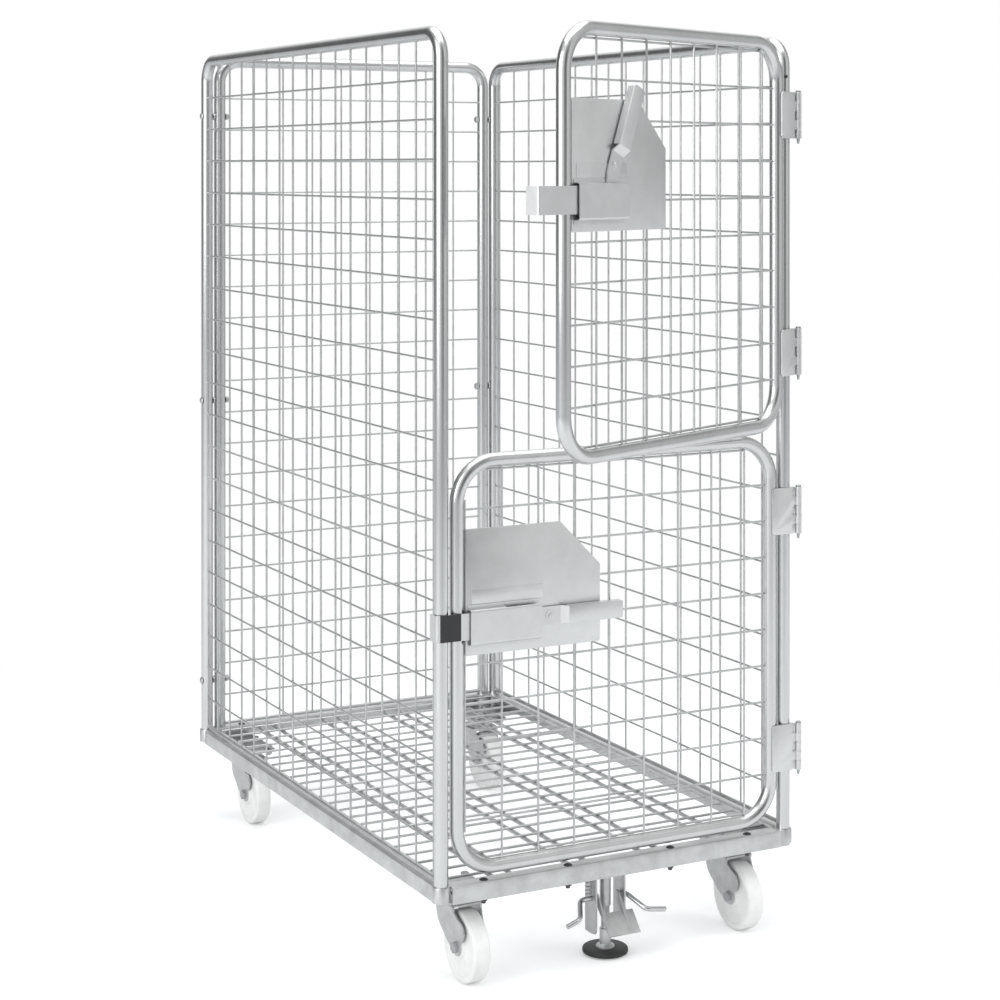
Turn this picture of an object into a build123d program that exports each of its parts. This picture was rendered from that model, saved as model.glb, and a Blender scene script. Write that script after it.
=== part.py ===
"""Roll container with a split front door, sprung floor lock and four swivel casters."""

import os
from math import atan, cos, degrees, pi, radians, sin, sqrt

from build123d import *

os.makedirs("parts", exist_ok=True)

# Base: folded angle frame with a tube socket at each leg
base_width = 726
base_length = 1200
angle_size = 30
angle_wall = 3
socket_radius = 15.5
plate_wall = 4
corner_plate_width = 110
corner_plate_length = 120
drain_hole_radius = 7

# Tubes of the cage and the doors: closed at their ends, so they are solid inside
tube_radius = 12.5
tube_sides = 16
tube_bend_steps = 5
seat_gap = 0.3
slip_gap = 0.05
leg_inset_x = 9
leg_inset_y = 16
cage_height = 1474
cage_bend = 45
panel_gap = 4.5

# Welded mesh
wire_radius = 2
wire_sides = 4
rod_sides = 8
round_sides = 12
wire_gap = 0.2
rod_radius = 4
rod_lift = 8
weld_gap = 0.1
row_start = 70
row_end = 93
row_count = 20
side_upright_start = 48.5
side_upright_end = 82
side_upright_count = 16
rear_upright_end = 77.75
rear_upright_count = 8

# Deck grid
deck_wire_radius = 2.5
deck_wire_inset = 50
deck_wire_count = 23
bearer_radius = 4
bearer_pair_gap = 36
bearer_inset = 138
bearer_pair_count = 4

# Bolts
bolt_size = 7
bolt_head_radius = 8
head_sides = 8
head_taper = 30
bolt_head_height = 3.6
nut_radius = 7.5
nut_height = 6.5
mount_bolt_inset = 19
corner_bolt_inset = 90
flange_bolt_inset = 15
tie_height_shares = (0.072, 0.4878, 0.9098)

# Casters
swivel_inset_x = 80
swivel_inset_y = 87
wheel_radius = 62.5
wheel_sides = 24
race_sides = 14
wheel_width = 32
hub_radius = 19
hub_width = 36.4
rim_depth = 11
web_width = 12
tread_round = 5
axle_radius = 6
axle_head_radius = 10
axle_head_height = 7
caster_trail = 28
crown_gap = 10
fork_wall = 3
fork_top_front = 48
fork_top_back = 30
fork_boss_radius = 15
fork_shoulder_radius = 12
fork_shoulder_front = 16
fork_shoulder_lift = 23.5
crown_radius = 31
race_radius = 28
race_height = 4.7
race_collar = 14
kingpin_radius = 7
kingpin_head_radius = 12
kingpin_head_height = 6
caster_plate_width = 86
caster_plate_length = 104
caster_bolt_x = 60
caster_bolt_y = 80

# Doors: two equal closed rings with mesh, on loose-pin hinges
door_top_gap = 4
door_lift = 9
door_gap = 7
door_bend = 72
stile_gap = 4.4
hinge_offset_x = 24
hinge_offset_y = 15
door_rest_turns = {"lower": 0, "upper": 23.5}
door_row_start = 28.5
door_row_count = 11
door_upright_start = 14.8
door_upright_end = 58.4
door_upright_count = 9

# Hinges
hinge_inset = 144
hinge_height = 86
hinge_wall = 3
post_leaf_wall = 2.5
knuckle_radius = 6
knuckle_gap = 0.4
knuckle_count = 5
leaf_clearance = 1.5
leaf_end = 5
pin_radius = 3.5
pin_tail = 10
pin_tail_radius = 1.8
pin_head_radius = 5
pin_head_height = 3

# Latches
latch_left = 14
latch_right = 281
latch_bottom = 381
latch_top = 599
latch_cut = 81
latch_wall = 2
guide_left = 18
guide_right = 157
guide_bottom = 400
guide_top = 462
guide_wall = 1.5
guide_depth = 12.1
guide_round = 5
guide_flange = 6
slot_left = 88
emboss_left = 25
emboss_right = 165
emboss_bottom = 469
emboss_top = 493
emboss_height = 1.2
strap_wall = 3
strap_height = 46
strap_middle = 433.5
strap_inner_end = 100
strap_lip = 27
strap_bend = 4
strap_travel = 38
lip_gap = 0.6
lever_pivot_x = 112
lever_pivot_y = 425
lever_turn = 66.4
lever_wall = 3
lever_gap = 1
lever_width = 34
lever_rise = 12
lever_tip = 320
lever_channel_start = 178
lever_flange = 11
lever_flange_wall = 2.5
lever_hole_left = 192
lever_hole_right = 221
lever_hole_height = 24
lever_rivet_x = 168
lever_rivet_radius = 7
lever_rivet_height = 2.5
stud_radius = 5
stud_collar_radius = 9
neck_width = 22

# Floor lock
lock_inset = 66
lock_plate_width = 250
lock_plate_back = 30
bracket_half = 28
bracket_wall = 3
bracket_front = 20
bracket_back = 19
bracket_drop = 118
bracket_round = 12
guide_tube_radius = 10
guide_tube_drop = 72
stem_radius = 8
plunger_radius = 10.4
stem_drop = 8
shaft_drop = 113
foot_radius = 41.5
foot_height = 8.6
foot_edge = 2
foot_sides = 24
foot_lift = 2
foot_cup_radius = 17
foot_cup_height = 6
lever_axis_front = 6
lever_axis_drop = 54
rod_lever_radius = 4.5
pedal_cheek = 20
pedal_wall = 3
pedal_left = -23
pedal_right = 42
pedal_boss_radius = 8
pedal_top_front = 23
pedal_top_drop = 80
pedal_bottom_front = 53
pedal_bottom_drop = 112
spring_radius = 6
spring_gap = 1
left_corner_x = 56
left_knee_x = 80
left_knee_drop = 71
left_end_x = 107
right_corner_x = 38
right_knee_x = 56
right_knee_drop = 74
right_end_x = 96
rod_bar_front = 50
rod_end_drop = 80
overrun = 2

# Places that follow from these
fork_crown_height = 2 * wheel_radius + crown_gap
race_top = fork_crown_height + race_height
deck_height = race_top + seat_gap + race_collar + plate_wall + angle_size
bolt_hole = bolt_size + 2 * seat_gap
leg_x = base_width / 2 - leg_inset_x
leg_y = base_length / 2 - leg_inset_y
rail_height = deck_height + cage_height - tube_radius
skirt_bottom = deck_height - angle_size
leg_bottom = skirt_bottom + plate_wall + seat_gap
rear_leg_x = leg_x - panel_gap - 2 * tube_radius
tie_heights = [share * cage_height for share in tie_height_shares]
row_pitch = (cage_height - row_start - row_end) / (row_count - 1)
side_upright_pitch = (base_length - side_upright_start - side_upright_end) / (side_upright_count - 1)
rear_upright_pitch = 2 * (rear_leg_x - rear_upright_end) / (rear_upright_count - 1)
deck_wire_pitch = (base_length - 2 * deck_wire_inset) / (deck_wire_count - 1)
bearer_pitch = (base_width - 2 * bearer_inset) / (bearer_pair_count - 1)
corner_bolt_x = base_width / 2 - corner_bolt_inset
mount_bolt_x = lock_plate_width / 2 - mount_bolt_inset
wire_offset = wire_radius + wire_gap / 2
wire_end = tube_radius + weld_gap
upright_bottom = deck_height + rod_lift + rod_radius + weld_gap
bearer_height = deck_height - angle_wall - bearer_radius
deck_wire_height = bearer_height + bearer_radius + deck_wire_radius
stile_x = leg_x - stile_gap - 2 * tube_radius
hinge_x = leg_x + hinge_offset_x
hinge_y = -leg_y - hinge_offset_y
hinge_reach = hinge_x + stile_x
door_width = 2 * stile_x
door_height = (cage_height - door_lift - door_gap - door_top_gap) / 2
door_row_pitch = (door_height - 2 * door_row_start) / (door_row_count - 1)
door_upright_pitch = (door_width - door_upright_start - door_upright_end) / (door_upright_count - 1)
door_bottoms = {
    "lower": deck_height + door_lift,
    "upper": deck_height + door_lift + door_height + door_gap,
}
swivel_x = base_width / 2 - swivel_inset_x
swivel_y = base_length / 2 - swivel_inset_y
fork_inner = hub_width / 2 + seat_gap
fork_outer = fork_inner + fork_wall
axle_height = wheel_radius
lock_y = lock_inset - base_length / 2
bracket_bottom = skirt_bottom - bracket_drop
guide_tube_bottom = skirt_bottom - guide_tube_drop
plunger_top = skirt_bottom - stem_drop
shaft_top = skirt_bottom - shaft_drop
lever_axis_height = skirt_bottom - lever_axis_drop
pedal_top_height = skirt_bottom - pedal_top_drop
pedal_bottom_height = skirt_bottom - pedal_bottom_drop
left_knee_height = skirt_bottom - left_knee_drop
right_knee_height = skirt_bottom - right_knee_drop
rod_end_height = skirt_bottom - rod_end_drop

# The row's origin is the middle of the whole object's box on the floor
door_turn = radians(door_rest_turns["upper"])
lip_reach = stile_gap + 2 * tube_radius + tube_radius + lip_gap + strap_wall
open_reach = hinge_reach + lip_reach + strap_travel
strap_front = tube_radius + 2 * wire_gap + strap_wall
bend_cut = strap_bend * (sin(door_turn) + cos(door_turn) - 1)
box_front = hinge_y - open_reach * sin(door_turn) + (hinge_offset_y - strap_front) * cos(door_turn) + bend_cut
box_right = hinge_x + knuckle_radius
box_left = -leg_x - tube_radius - wire_gap - bolt_head_height
middle_x = (box_left + box_right) / 2
middle_y = (box_front + base_length / 2) / 2


def level(z, x=0, y=0, turn=0):
    """A plane parallel to the floor, placed from the middle of the base."""
    return Plane(origin=(x - middle_x, y - middle_y, z)).rotated((0, 0, turn))


def front(y, x=0, z=0):
    """A plane that faces the front, with X to the right and Z up."""
    return Plane(origin=(x - middle_x, y - middle_y, z), x_dir=(1, 0, 0), z_dir=(0, -1, 0))


def side(x, y=0, z=0):
    """A plane that faces right, with Y to the right of its sketch and Z up."""
    return Plane(origin=(x - middle_x, y - middle_y, z), x_dir=(0, 1, 0), z_dir=(1, 0, 0))


def door_axes(door):
    """The directions of a door: along it towards the hinge, and out of it."""
    turn = radians(door_rest_turns[door])
    return (cos(turn), sin(turn)), (sin(turn), -cos(turn))


def door_point(door, along, out, up):
    """A point from the foot of a door's latch stile, in the row's frame."""
    across, outward = door_axes(door)
    along_pin = along - hinge_reach
    out_pin = out - hinge_offset_y
    x = hinge_x - middle_x + along_pin * across[0] + out_pin * outward[0]
    y = hinge_y - middle_y + along_pin * across[1] + out_pin * outward[1]
    return (x, y, door_bottoms[door] + up)


def door_face(door, out=0, along=0, up=0):
    """A plane on a door, seen from the front: X to the hinge and Y up."""
    across, outward = door_axes(door)
    return Plane(origin=door_point(door, along, out, up), x_dir=(*across, 0), z_dir=(*outward, 0))


def door_plan(door, up=0, along=0, out=0):
    """A plane across a door, seen from above: X to the hinge and Y into the cage."""
    across, outward = door_axes(door)
    return Plane(origin=door_point(door, along, out, up), x_dir=(*across, 0), z_dir=(0, 0, 1))


def save(builder, node):
    """Label a finished piece and write it under its node's name."""
    builder.part.label = node
    export_step(builder.part, f"parts/{node}.step")


def bent_route(points, bend):
    """Points along straight runs in a plane whose corners are bent in short steps."""
    route = [points[0]]
    for before, corner, after in zip(points, points[1:], points[2:]):
        back = (Vector(*before) - Vector(*corner)).normalized()
        ahead = (Vector(*after) - Vector(*corner)).normalized()
        middle = Vector(*corner) + (back + ahead) * bend
        for k in range(tube_bend_steps + 1):
            turn = pi / 2 * k / tube_bend_steps
            place = middle - (ahead * cos(turn) + back * sin(turn)) * bend
            route.append((place.X, place.Y))
    return route + [points[-1]]


def round_tube(plane, points, bend, closed=False):
    """A tube bent along straight runs, in a plane; a closed one starts halfway along its first run."""
    if closed:
        half = tuple((a + b) / 2 for a, b in zip(points[0], points[1]))
        points = [half, *points[1:], points[0], half]
    with BuildPart() as tube:
        with BuildLine(plane) as route:
            Polyline(*bent_route(points, bend))
        with BuildSketch(Plane(origin=route.line @ 0, z_dir=route.line % 0)):
            RegularPolygon(tube_radius, side_count=tube_sides)
        sweep(path=route.line, transition=Transition.RIGHT)
    return tube.part


def bolt(grip):
    """A coach bolt that points down, with its nut below the grip, as one solid."""
    with BuildPart() as one:
        with BuildSketch():
            Rectangle(bolt_size, bolt_size)
        extrude(amount=-(grip + nut_height))
        with BuildSketch():
            RegularPolygon(bolt_head_radius, side_count=head_sides)
        extrude(amount=bolt_head_height, taper=head_taper)
        with BuildSketch(Plane.XY.offset(-grip)):
            RegularPolygon(nut_radius, side_count=6)
        extrude(amount=-nut_height)
    return one.part


def slab(left, right, low, high):
    """The corners of a rectangle from its sides."""
    return [(left, low), (right, low), (right, high), (left, high)]


def under_bend(offset, top, half_span, bend, radius):
    """Height where an upright meets the inside of a bent rail."""
    middle = half_span - bend
    out = abs(offset) + radius - middle
    if out <= 0:
        return top - tube_radius - weld_gap
    reach = sqrt((bend - tube_radius) ** 2 - out**2)
    return top - bend + reach - weld_gap


# Base frame: angle profile with its flange inward, corner sockets welded in
with BuildPart() as base_frame:
    with BuildSketch(level(skirt_bottom)):
        Rectangle(base_width, base_length)
        Rectangle(base_width - 2 * angle_wall, base_length - 2 * angle_wall, mode=Mode.SUBTRACT)
    extrude(amount=angle_size)
    with BuildSketch(level(deck_height - angle_wall)):
        Rectangle(base_width, base_length)
        Rectangle(base_width - 2 * angle_size, base_length - 2 * angle_size, mode=Mode.SUBTRACT)
    extrude(amount=angle_wall)
    socket_places = [(sx * leg_x, sy * leg_y) for sx in (-1, 1) for sy in (-1, 1)]
    socket_places += [(sx * rear_leg_x, leg_y) for sx in (-1, 1)]
    socket_height = angle_size - plate_wall
    with BuildSketch(level(skirt_bottom + plate_wall)):
        with Locations(*socket_places):
            RegularPolygon(socket_radius, side_count=rod_sides)
    extrude(amount=socket_height)
    with BuildSketch(level(skirt_bottom + plate_wall)):
        with Locations(*socket_places):
            RegularPolygon(tube_radius + seat_gap, side_count=tube_sides)
    extrude(amount=socket_height, mode=Mode.SUBTRACT)
    with BuildSketch(level(deck_height)):
        with Locations(*[(sx * x, sy * (base_length / 2 - flange_bolt_inset))
                         for sx in (-1, 1) for sy in (-1, 1) for x in (mount_bolt_x, corner_bolt_x)]):
            Rectangle(bolt_hole, bolt_hole)
    extrude(amount=-angle_wall, mode=Mode.SUBTRACT)
save(base_frame, "base_frame")

# Corner plates: they close the angle below each pair of legs and carry the casters
corner_x = base_width / 2 - angle_wall - corner_plate_width / 2
corner_y = base_length / 2 - angle_wall - corner_plate_length / 2
with BuildPart() as corner_plates:
    with BuildSketch(level(skirt_bottom)):
        with Locations(*[(sx * corner_x, sy * corner_y) for sx in (-1, 1) for sy in (-1, 1)]):
            Rectangle(corner_plate_width, corner_plate_length)
        with Locations(*[(sx * swivel_x, sy * swivel_y) for sx in (-1, 1) for sy in (-1, 1)]):
            RegularPolygon(kingpin_head_radius + seat_gap, side_count=round_sides, mode=Mode.SUBTRACT)
        with Locations(*[(sx * corner_bolt_x, sy * (base_length / 2 - flange_bolt_inset))
                         for sx in (-1, 1) for sy in (-1, 1)]):
            Rectangle(bolt_hole, bolt_hole, mode=Mode.SUBTRACT)
    extrude(amount=plate_wall)
save(corner_plates, "corner_plates")

# Deck: pairs of bearers under the end flanges, cross wires on top of them
bearer_end = base_length / 2 - angle_wall - weld_gap
with BuildPart() as deck_bearers:
    with BuildSketch(front(bearer_end, 0, bearer_height)):
        with GridLocations(bearer_pitch, 0, bearer_pair_count, 1):
            with GridLocations(bearer_pair_gap, 0, 2, 1):
                RegularPolygon(bearer_radius, side_count=6)
    extrude(amount=2 * bearer_end)
save(deck_bearers, "deck_bearers")

wire_reach = base_width / 2 - angle_size - weld_gap
with BuildPart() as deck_wires:
    with BuildSketch(side(-wire_reach, 0, deck_wire_height + wire_gap)):
        with GridLocations(deck_wire_pitch, 0, deck_wire_count, 1):
            RegularPolygon(deck_wire_radius, side_count=wire_sides)
    extrude(amount=2 * wire_reach)
save(deck_wires, "deck_wires")


corner_bolt = bolt(angle_size)
with BuildPart() as flange_bolts:
    bolt_y = base_length / 2 - flange_bolt_inset
    bolt_places = [(sx * corner_bolt_x, sy * bolt_y) for sx in (-1, 1) for sy in (-1, 1)]
    bolt_places += [(sx * mount_bolt_x, -bolt_y) for sx in (-1, 1)]
    with Locations(*[level(deck_height, x, y) for x, y in bolt_places]):
        add(corner_bolt)
save(flange_bolts, "flange_bolts")

# Side frames: one tube each, bent to an upturned U, its feet in the sockets
for hand, node in ((-1, "left_side_frame"), (1, "right_side_frame")):
    feet = [(-leg_y, leg_bottom), (-leg_y, rail_height), (leg_y, rail_height), (leg_y, leg_bottom)]
    side_tube = round_tube(side(hand * leg_x), feet, cage_bend)
    with BuildPart() as side_frame:
        add(side_tube)
    save(side_frame, node)

# Side meshes: rows outside, uprights inside; the right one is the left one turned round
for hand, node in ((-1, "left_side_mesh"), (1, "right_side_mesh")):
    with BuildPart() as side_mesh:
        row_end = leg_y - wire_end
        with BuildSketch(front(row_end, hand * (leg_x + wire_offset), deck_height)):
            with Locations(*[(0, row_start + k * row_pitch) for k in range(row_count)]):
                RegularPolygon(wire_radius, side_count=wire_sides)
        extrude(amount=2 * row_end)
        with BuildSketch(front(row_end, hand * leg_x, deck_height + rod_lift)):
            RegularPolygon(rod_radius, side_count=rod_sides)
        extrude(amount=2 * row_end)
        for k in range(side_upright_count):
            y_wire = hand * (base_length / 2 - side_upright_start - k * side_upright_pitch)
            top = under_bend(y_wire, rail_height, leg_y, cage_bend, wire_radius)
            with BuildSketch(level(upright_bottom, hand * (leg_x - wire_offset), y_wire)):
                RegularPolygon(wire_radius, side_count=wire_sides)
            extrude(amount=top - upright_bottom)
    save(side_mesh, node)

# Rear frame: a narrower U between the side frames, bolted to their legs
rear_feet = [(-rear_leg_x, leg_bottom), (-rear_leg_x, rail_height),
             (rear_leg_x, rail_height), (rear_leg_x, leg_bottom)]
rear_tube = round_tube(front(leg_y), rear_feet, cage_bend)
with BuildPart() as rear_frame:
    add(rear_tube)
save(rear_frame, "rear_frame")

with BuildPart() as rear_mesh:
    row_end = rear_leg_x - wire_end
    with BuildSketch(side(-row_end, leg_y + wire_offset, deck_height)):
        with Locations(*[(0, row_start + k * row_pitch) for k in range(row_count)]):
            RegularPolygon(wire_radius, side_count=wire_sides)
    extrude(amount=2 * row_end)
    with BuildSketch(side(-row_end, leg_y, deck_height + rod_lift)):
        RegularPolygon(rod_radius, side_count=rod_sides)
    extrude(amount=2 * row_end)
    with BuildSketch(level(upright_bottom, 0, leg_y - wire_offset)):
        with GridLocations(rear_upright_pitch, 0, rear_upright_count, 1):
            RegularPolygon(wire_radius, side_count=wire_sides)
    extrude(amount=rail_height - tube_radius - weld_gap - upright_bottom)
save(rear_mesh, "rear_mesh")

# Panel bolts: a head outside each rear corner, a spacer between its legs and a nut inside
tie_start = leg_x + tube_radius + wire_gap
with BuildPart() as panel_tie_bolts:
    for hand in (-1, 1):
        for start, thickness, radius, sides in (
            (tie_start, bolt_head_height, bolt_head_radius, head_sides),
            (tie_start - 2 * (tube_radius + wire_gap), wire_gap * 2 - panel_gap, nut_radius, 6),
            (rear_leg_x - tube_radius - wire_gap, -nut_height, nut_radius, 6),
        ):
            with BuildSketch(side(hand * start, leg_y, deck_height)):
                with Locations(*[(0, height) for height in tie_heights]):
                    RegularPolygon(radius, side_count=sides)
            extrude(amount=hand * thickness)
save(panel_tie_bolts, "panel_tie_bolts")

# Caster plates: pressed plate with the upper ball race, bolted below the corner plates
corners = {
    "front_left": (-swivel_x, -swivel_y),
    "front_right": (swivel_x, -swivel_y),
    "rear_left": (-swivel_x, swivel_y),
    "rear_right": (swivel_x, swivel_y),
}
with BuildPart() as caster_plates:
    with BuildSketch(level(skirt_bottom)):
        with Locations(*corners.values()):
            Rectangle(caster_plate_width, caster_plate_length)
    extrude(amount=-plate_wall)
    with BuildSketch(level(race_top + seat_gap)):
        with Locations(*corners.values()):
            RegularPolygon(race_radius, side_count=race_sides)
    extrude(amount=skirt_bottom - race_top - seat_gap)
    with BuildSketch(level(skirt_bottom)):
        with Locations(*corners.values()):
            RegularPolygon(kingpin_radius + seat_gap, side_count=round_sides, major_radius=False)
    extrude(amount=-(skirt_bottom - race_top), mode=Mode.SUBTRACT)
save(caster_plates, "caster_plates")

# Caster bolts: heads on the corner plates and nuts below the caster plates
with BuildPart() as caster_bolts:
    for height, thickness in (
        (skirt_bottom + plate_wall, bolt_head_height),
        (skirt_bottom - plate_wall, -nut_height),
    ):
        with BuildSketch(level(height)):
            with Locations(*corners.values()):
                with GridLocations(caster_bolt_x, caster_bolt_y, 2, 2):
                    RegularPolygon(nut_radius, side_count=6)
        extrude(amount=thickness)
save(caster_bolts, "caster_bolts")

pin_foot = fork_crown_height - fork_wall - seat_gap
with BuildPart() as kingpins:
    for x_swivel, y_swivel in corners.values():
        with BuildSketch(level(pin_foot, x_swivel, y_swivel)):
            Circle(kingpin_radius)
        extrude(amount=skirt_bottom - pin_foot)
        with BuildSketch(level(skirt_bottom, x_swivel, y_swivel)):
            RegularPolygon(kingpin_head_radius, side_count=round_sides)
        extrude(amount=kingpin_head_height)
        with BuildSketch(level(pin_foot, x_swivel, y_swivel)):
            RegularPolygon(kingpin_head_radius, side_count=6)
        extrude(amount=-kingpin_head_height)
save(kingpins, "kingpins")

# Forks, axles and wheels, all trailing towards the front as the container was pulled back
for corner, (x_swivel, y_swivel) in corners.items():
    y_axle = y_swivel - caster_trail
    with BuildPart() as fork:
        with BuildSketch(side(x_swivel - fork_outer, y_swivel)):
            with Locations((-caster_trail, axle_height)):
                RegularPolygon(fork_boss_radius, side_count=round_sides)
            with Locations((-caster_trail - fork_shoulder_front, axle_height + fork_shoulder_lift)):
                RegularPolygon(fork_shoulder_radius, side_count=rod_sides)
            with Locations(((fork_top_front - fork_top_back) / 2, fork_crown_height - fork_wall / 2)):
                Rectangle(fork_top_front + fork_top_back, fork_wall)
            make_hull()
        extrude(amount=2 * fork_outer)
        chamfer(fork.edges().filter_by(Axis.Y).group_by(Axis.Z)[-1], fork_wall)
        with BuildSketch(level(fork_crown_height - fork_wall, x_swivel, y_swivel)):
            RegularPolygon(crown_radius, side_count=race_sides)
        extrude(amount=fork_wall)
        with BuildSketch(level(fork_crown_height - fork_wall, x_swivel, y_swivel)):
            Rectangle(2 * fork_inner, 2 * fork_crown_height)
        extrude(amount=-fork_crown_height, mode=Mode.SUBTRACT)
        with BuildSketch(level(fork_crown_height, x_swivel, y_swivel)):
            RegularPolygon(race_radius, side_count=race_sides)
        extrude(amount=race_height)
        with BuildSketch(level(fork_crown_height + race_height, x_swivel, y_swivel)):
            RegularPolygon(kingpin_radius + slip_gap, side_count=round_sides, major_radius=False)
        extrude(amount=-(race_height + 2 * fork_wall), mode=Mode.SUBTRACT)
        with BuildSketch(side(x_swivel, y_axle, axle_height)):
            RegularPolygon(axle_radius + slip_gap, side_count=round_sides)
        extrude(amount=fork_outer + overrun, both=True, mode=Mode.SUBTRACT)
    save(fork, f"{corner}_fork")

    with BuildPart() as axle:
        with BuildSketch(side(x_swivel, y_axle, axle_height)):
            RegularPolygon(axle_radius, side_count=round_sides)
        extrude(amount=fork_outer, both=True)
        for hand in (-1, 1):
            with BuildSketch(side(x_swivel + hand * fork_outer, y_axle, axle_height)):
                RegularPolygon(axle_head_radius, side_count=6)
            extrude(amount=hand * axle_head_height)
    save(axle, f"{corner}_axle")

    with BuildPart() as wheel:
        with BuildSketch(side(x_swivel, y_axle, axle_height)):
            RegularPolygon(wheel_radius, side_count=wheel_sides, rotation=90)
        extrude(amount=wheel_width / 2, both=True)
        chamfer(wheel.edges().group_by(Axis.X)[0] + wheel.edges().group_by(Axis.X)[-1], tread_round)
        for hand in (-1, 1):
            with BuildSketch(side(x_swivel + hand * wheel_width / 2, y_axle, axle_height)):
                RegularPolygon(wheel_radius - rim_depth, side_count=wheel_sides, rotation=90)
            extrude(amount=hand * (web_width - wheel_width) / 2, mode=Mode.SUBTRACT)
        with BuildSketch(side(x_swivel, y_axle, axle_height)):
            RegularPolygon(hub_radius, side_count=round_sides)
        extrude(amount=hub_width / 2, both=True)
        with BuildSketch(side(x_swivel, y_axle, axle_height)):
            Circle(axle_radius + slip_gap)
        extrude(amount=hub_width, both=True, mode=Mode.SUBTRACT)
    save(wheel, f"{corner}_wheel")

# Hinges: five knuckles on a loose pin, three on the post's leaf and two on the door's
knuckle_height = (hinge_height - (knuckle_count - 1) * knuckle_gap) / knuckle_count
knuckle_steps = [k * (knuckle_height + knuckle_gap) for k in range(knuckle_count)]
hinge_feet = {
    door: [bottom + middle - hinge_height / 2 for middle in (hinge_inset, door_height - hinge_inset)]
    for door, bottom in door_bottoms.items()
}
post_distance = sqrt(hinge_offset_x**2 + hinge_offset_y**2)
post_leaf_end = post_distance - tube_radius - seat_gap
knuckle_clear = knuckle_radius + leaf_clearance
to_post = Vector(-hinge_offset_x, hinge_offset_y, 0)


def hinge_leaf(far_end, low, high, steps):
    """A leaf along X from its pin, with a knuckle at each of its steps."""
    with BuildPart() as leaf:
        with BuildSketch():
            with BuildLine():
                Polyline(*slab(knuckle_clear, far_end, low, high), close=True)
            make_face()
        extrude(amount=hinge_height)
        for step in steps:
            with BuildSketch(Plane.XY.offset(step)):
                RegularPolygon(knuckle_radius, side_count=round_sides)
                with BuildLine():
                    Polyline(*slab(0, knuckle_clear, low, high), close=True)
                make_face()
                RegularPolygon(pin_radius + slip_gap, side_count=rod_sides, major_radius=False,
                               mode=Mode.SUBTRACT)
            extrude(amount=knuckle_height)
    return leaf.part


post_leaf = hinge_leaf(post_leaf_end, -post_leaf_wall / 2, post_leaf_wall / 2, knuckle_steps[::2])
with BuildPart() as post_hinge_leaves:
    with Locations(*[
        Plane(origin=level(foot, hinge_x, hinge_y).origin, x_dir=to_post, z_dir=(0, 0, 1))
        for feet in hinge_feet.values() for foot in feet
    ]):
        add(post_leaf)
save(post_hinge_leaves, "post_hinge_leaves")

pin_taper = degrees(atan((pin_radius - pin_tail_radius) / pin_tail))
with BuildPart() as hinge_pins:
    for feet in hinge_feet.values():
        for foot in feet:
            for start, length, radius, taper in (
                (foot, -pin_tail, pin_radius, pin_taper),
                (foot + hinge_height + seat_gap, pin_head_height, pin_head_radius, 0),
            ):
                with BuildSketch(level(start, hinge_x, hinge_y)):
                    RegularPolygon(radius, side_count=rod_sides)
                extrude(amount=length, taper=taper)
            with BuildSketch(level(foot, hinge_x, hinge_y)):
                Circle(pin_radius)
            extrude(amount=hinge_height + seat_gap)
save(hinge_pins, "hinge_pins")

# Doors
mesh_front = wire_offset + wire_radius
plate_back = mesh_front + seat_gap
plate_front = plate_back + latch_wall
guide_front = plate_front + guide_depth + guide_wall
strap_back = tube_radius + 2 * wire_gap
lever_back = plate_front + lever_gap * 2
lever_front = lever_back + lever_wall


def ring_start(distance):
    """Where a wire meets the ring, for its distance from the nearest tube's middle."""
    out = door_bend - distance + wire_radius
    if out <= 0:
        return wire_end
    return door_bend - sqrt((door_bend - tube_radius) ** 2 - out**2) + weld_gap


def door_cross(door, along=0, out=0, up=0):
    """A plane across a door, seen from its latch side: X into the cage and Y up."""
    across, outward = door_axes(door)
    return Plane(origin=door_point(door, along, out, up), x_dir=(-outward[0], -outward[1], 0), z_dir=(*across, 0))


def lever_face(door, out):
    """A plane at a lever's pivot, with X along the lever as it stands at rest."""
    across, outward = door_axes(door)
    turn = radians(lever_turn) if door == "upper" else 0
    along = (across[0] * cos(turn), across[1] * cos(turn), sin(turn))
    return Plane(origin=door_point(door, lever_pivot_x, out, lever_pivot_y), x_dir=along, z_dir=(*outward, 0))


leaf_back = hinge_offset_y - tube_radius - seat_gap
leaf_far_end = hinge_offset_x + 2 * tube_radius + stile_gap + leaf_end
door_leaf = hinge_leaf(leaf_far_end, -leaf_back, hinge_wall - leaf_back, knuckle_steps[1::2])

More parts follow.
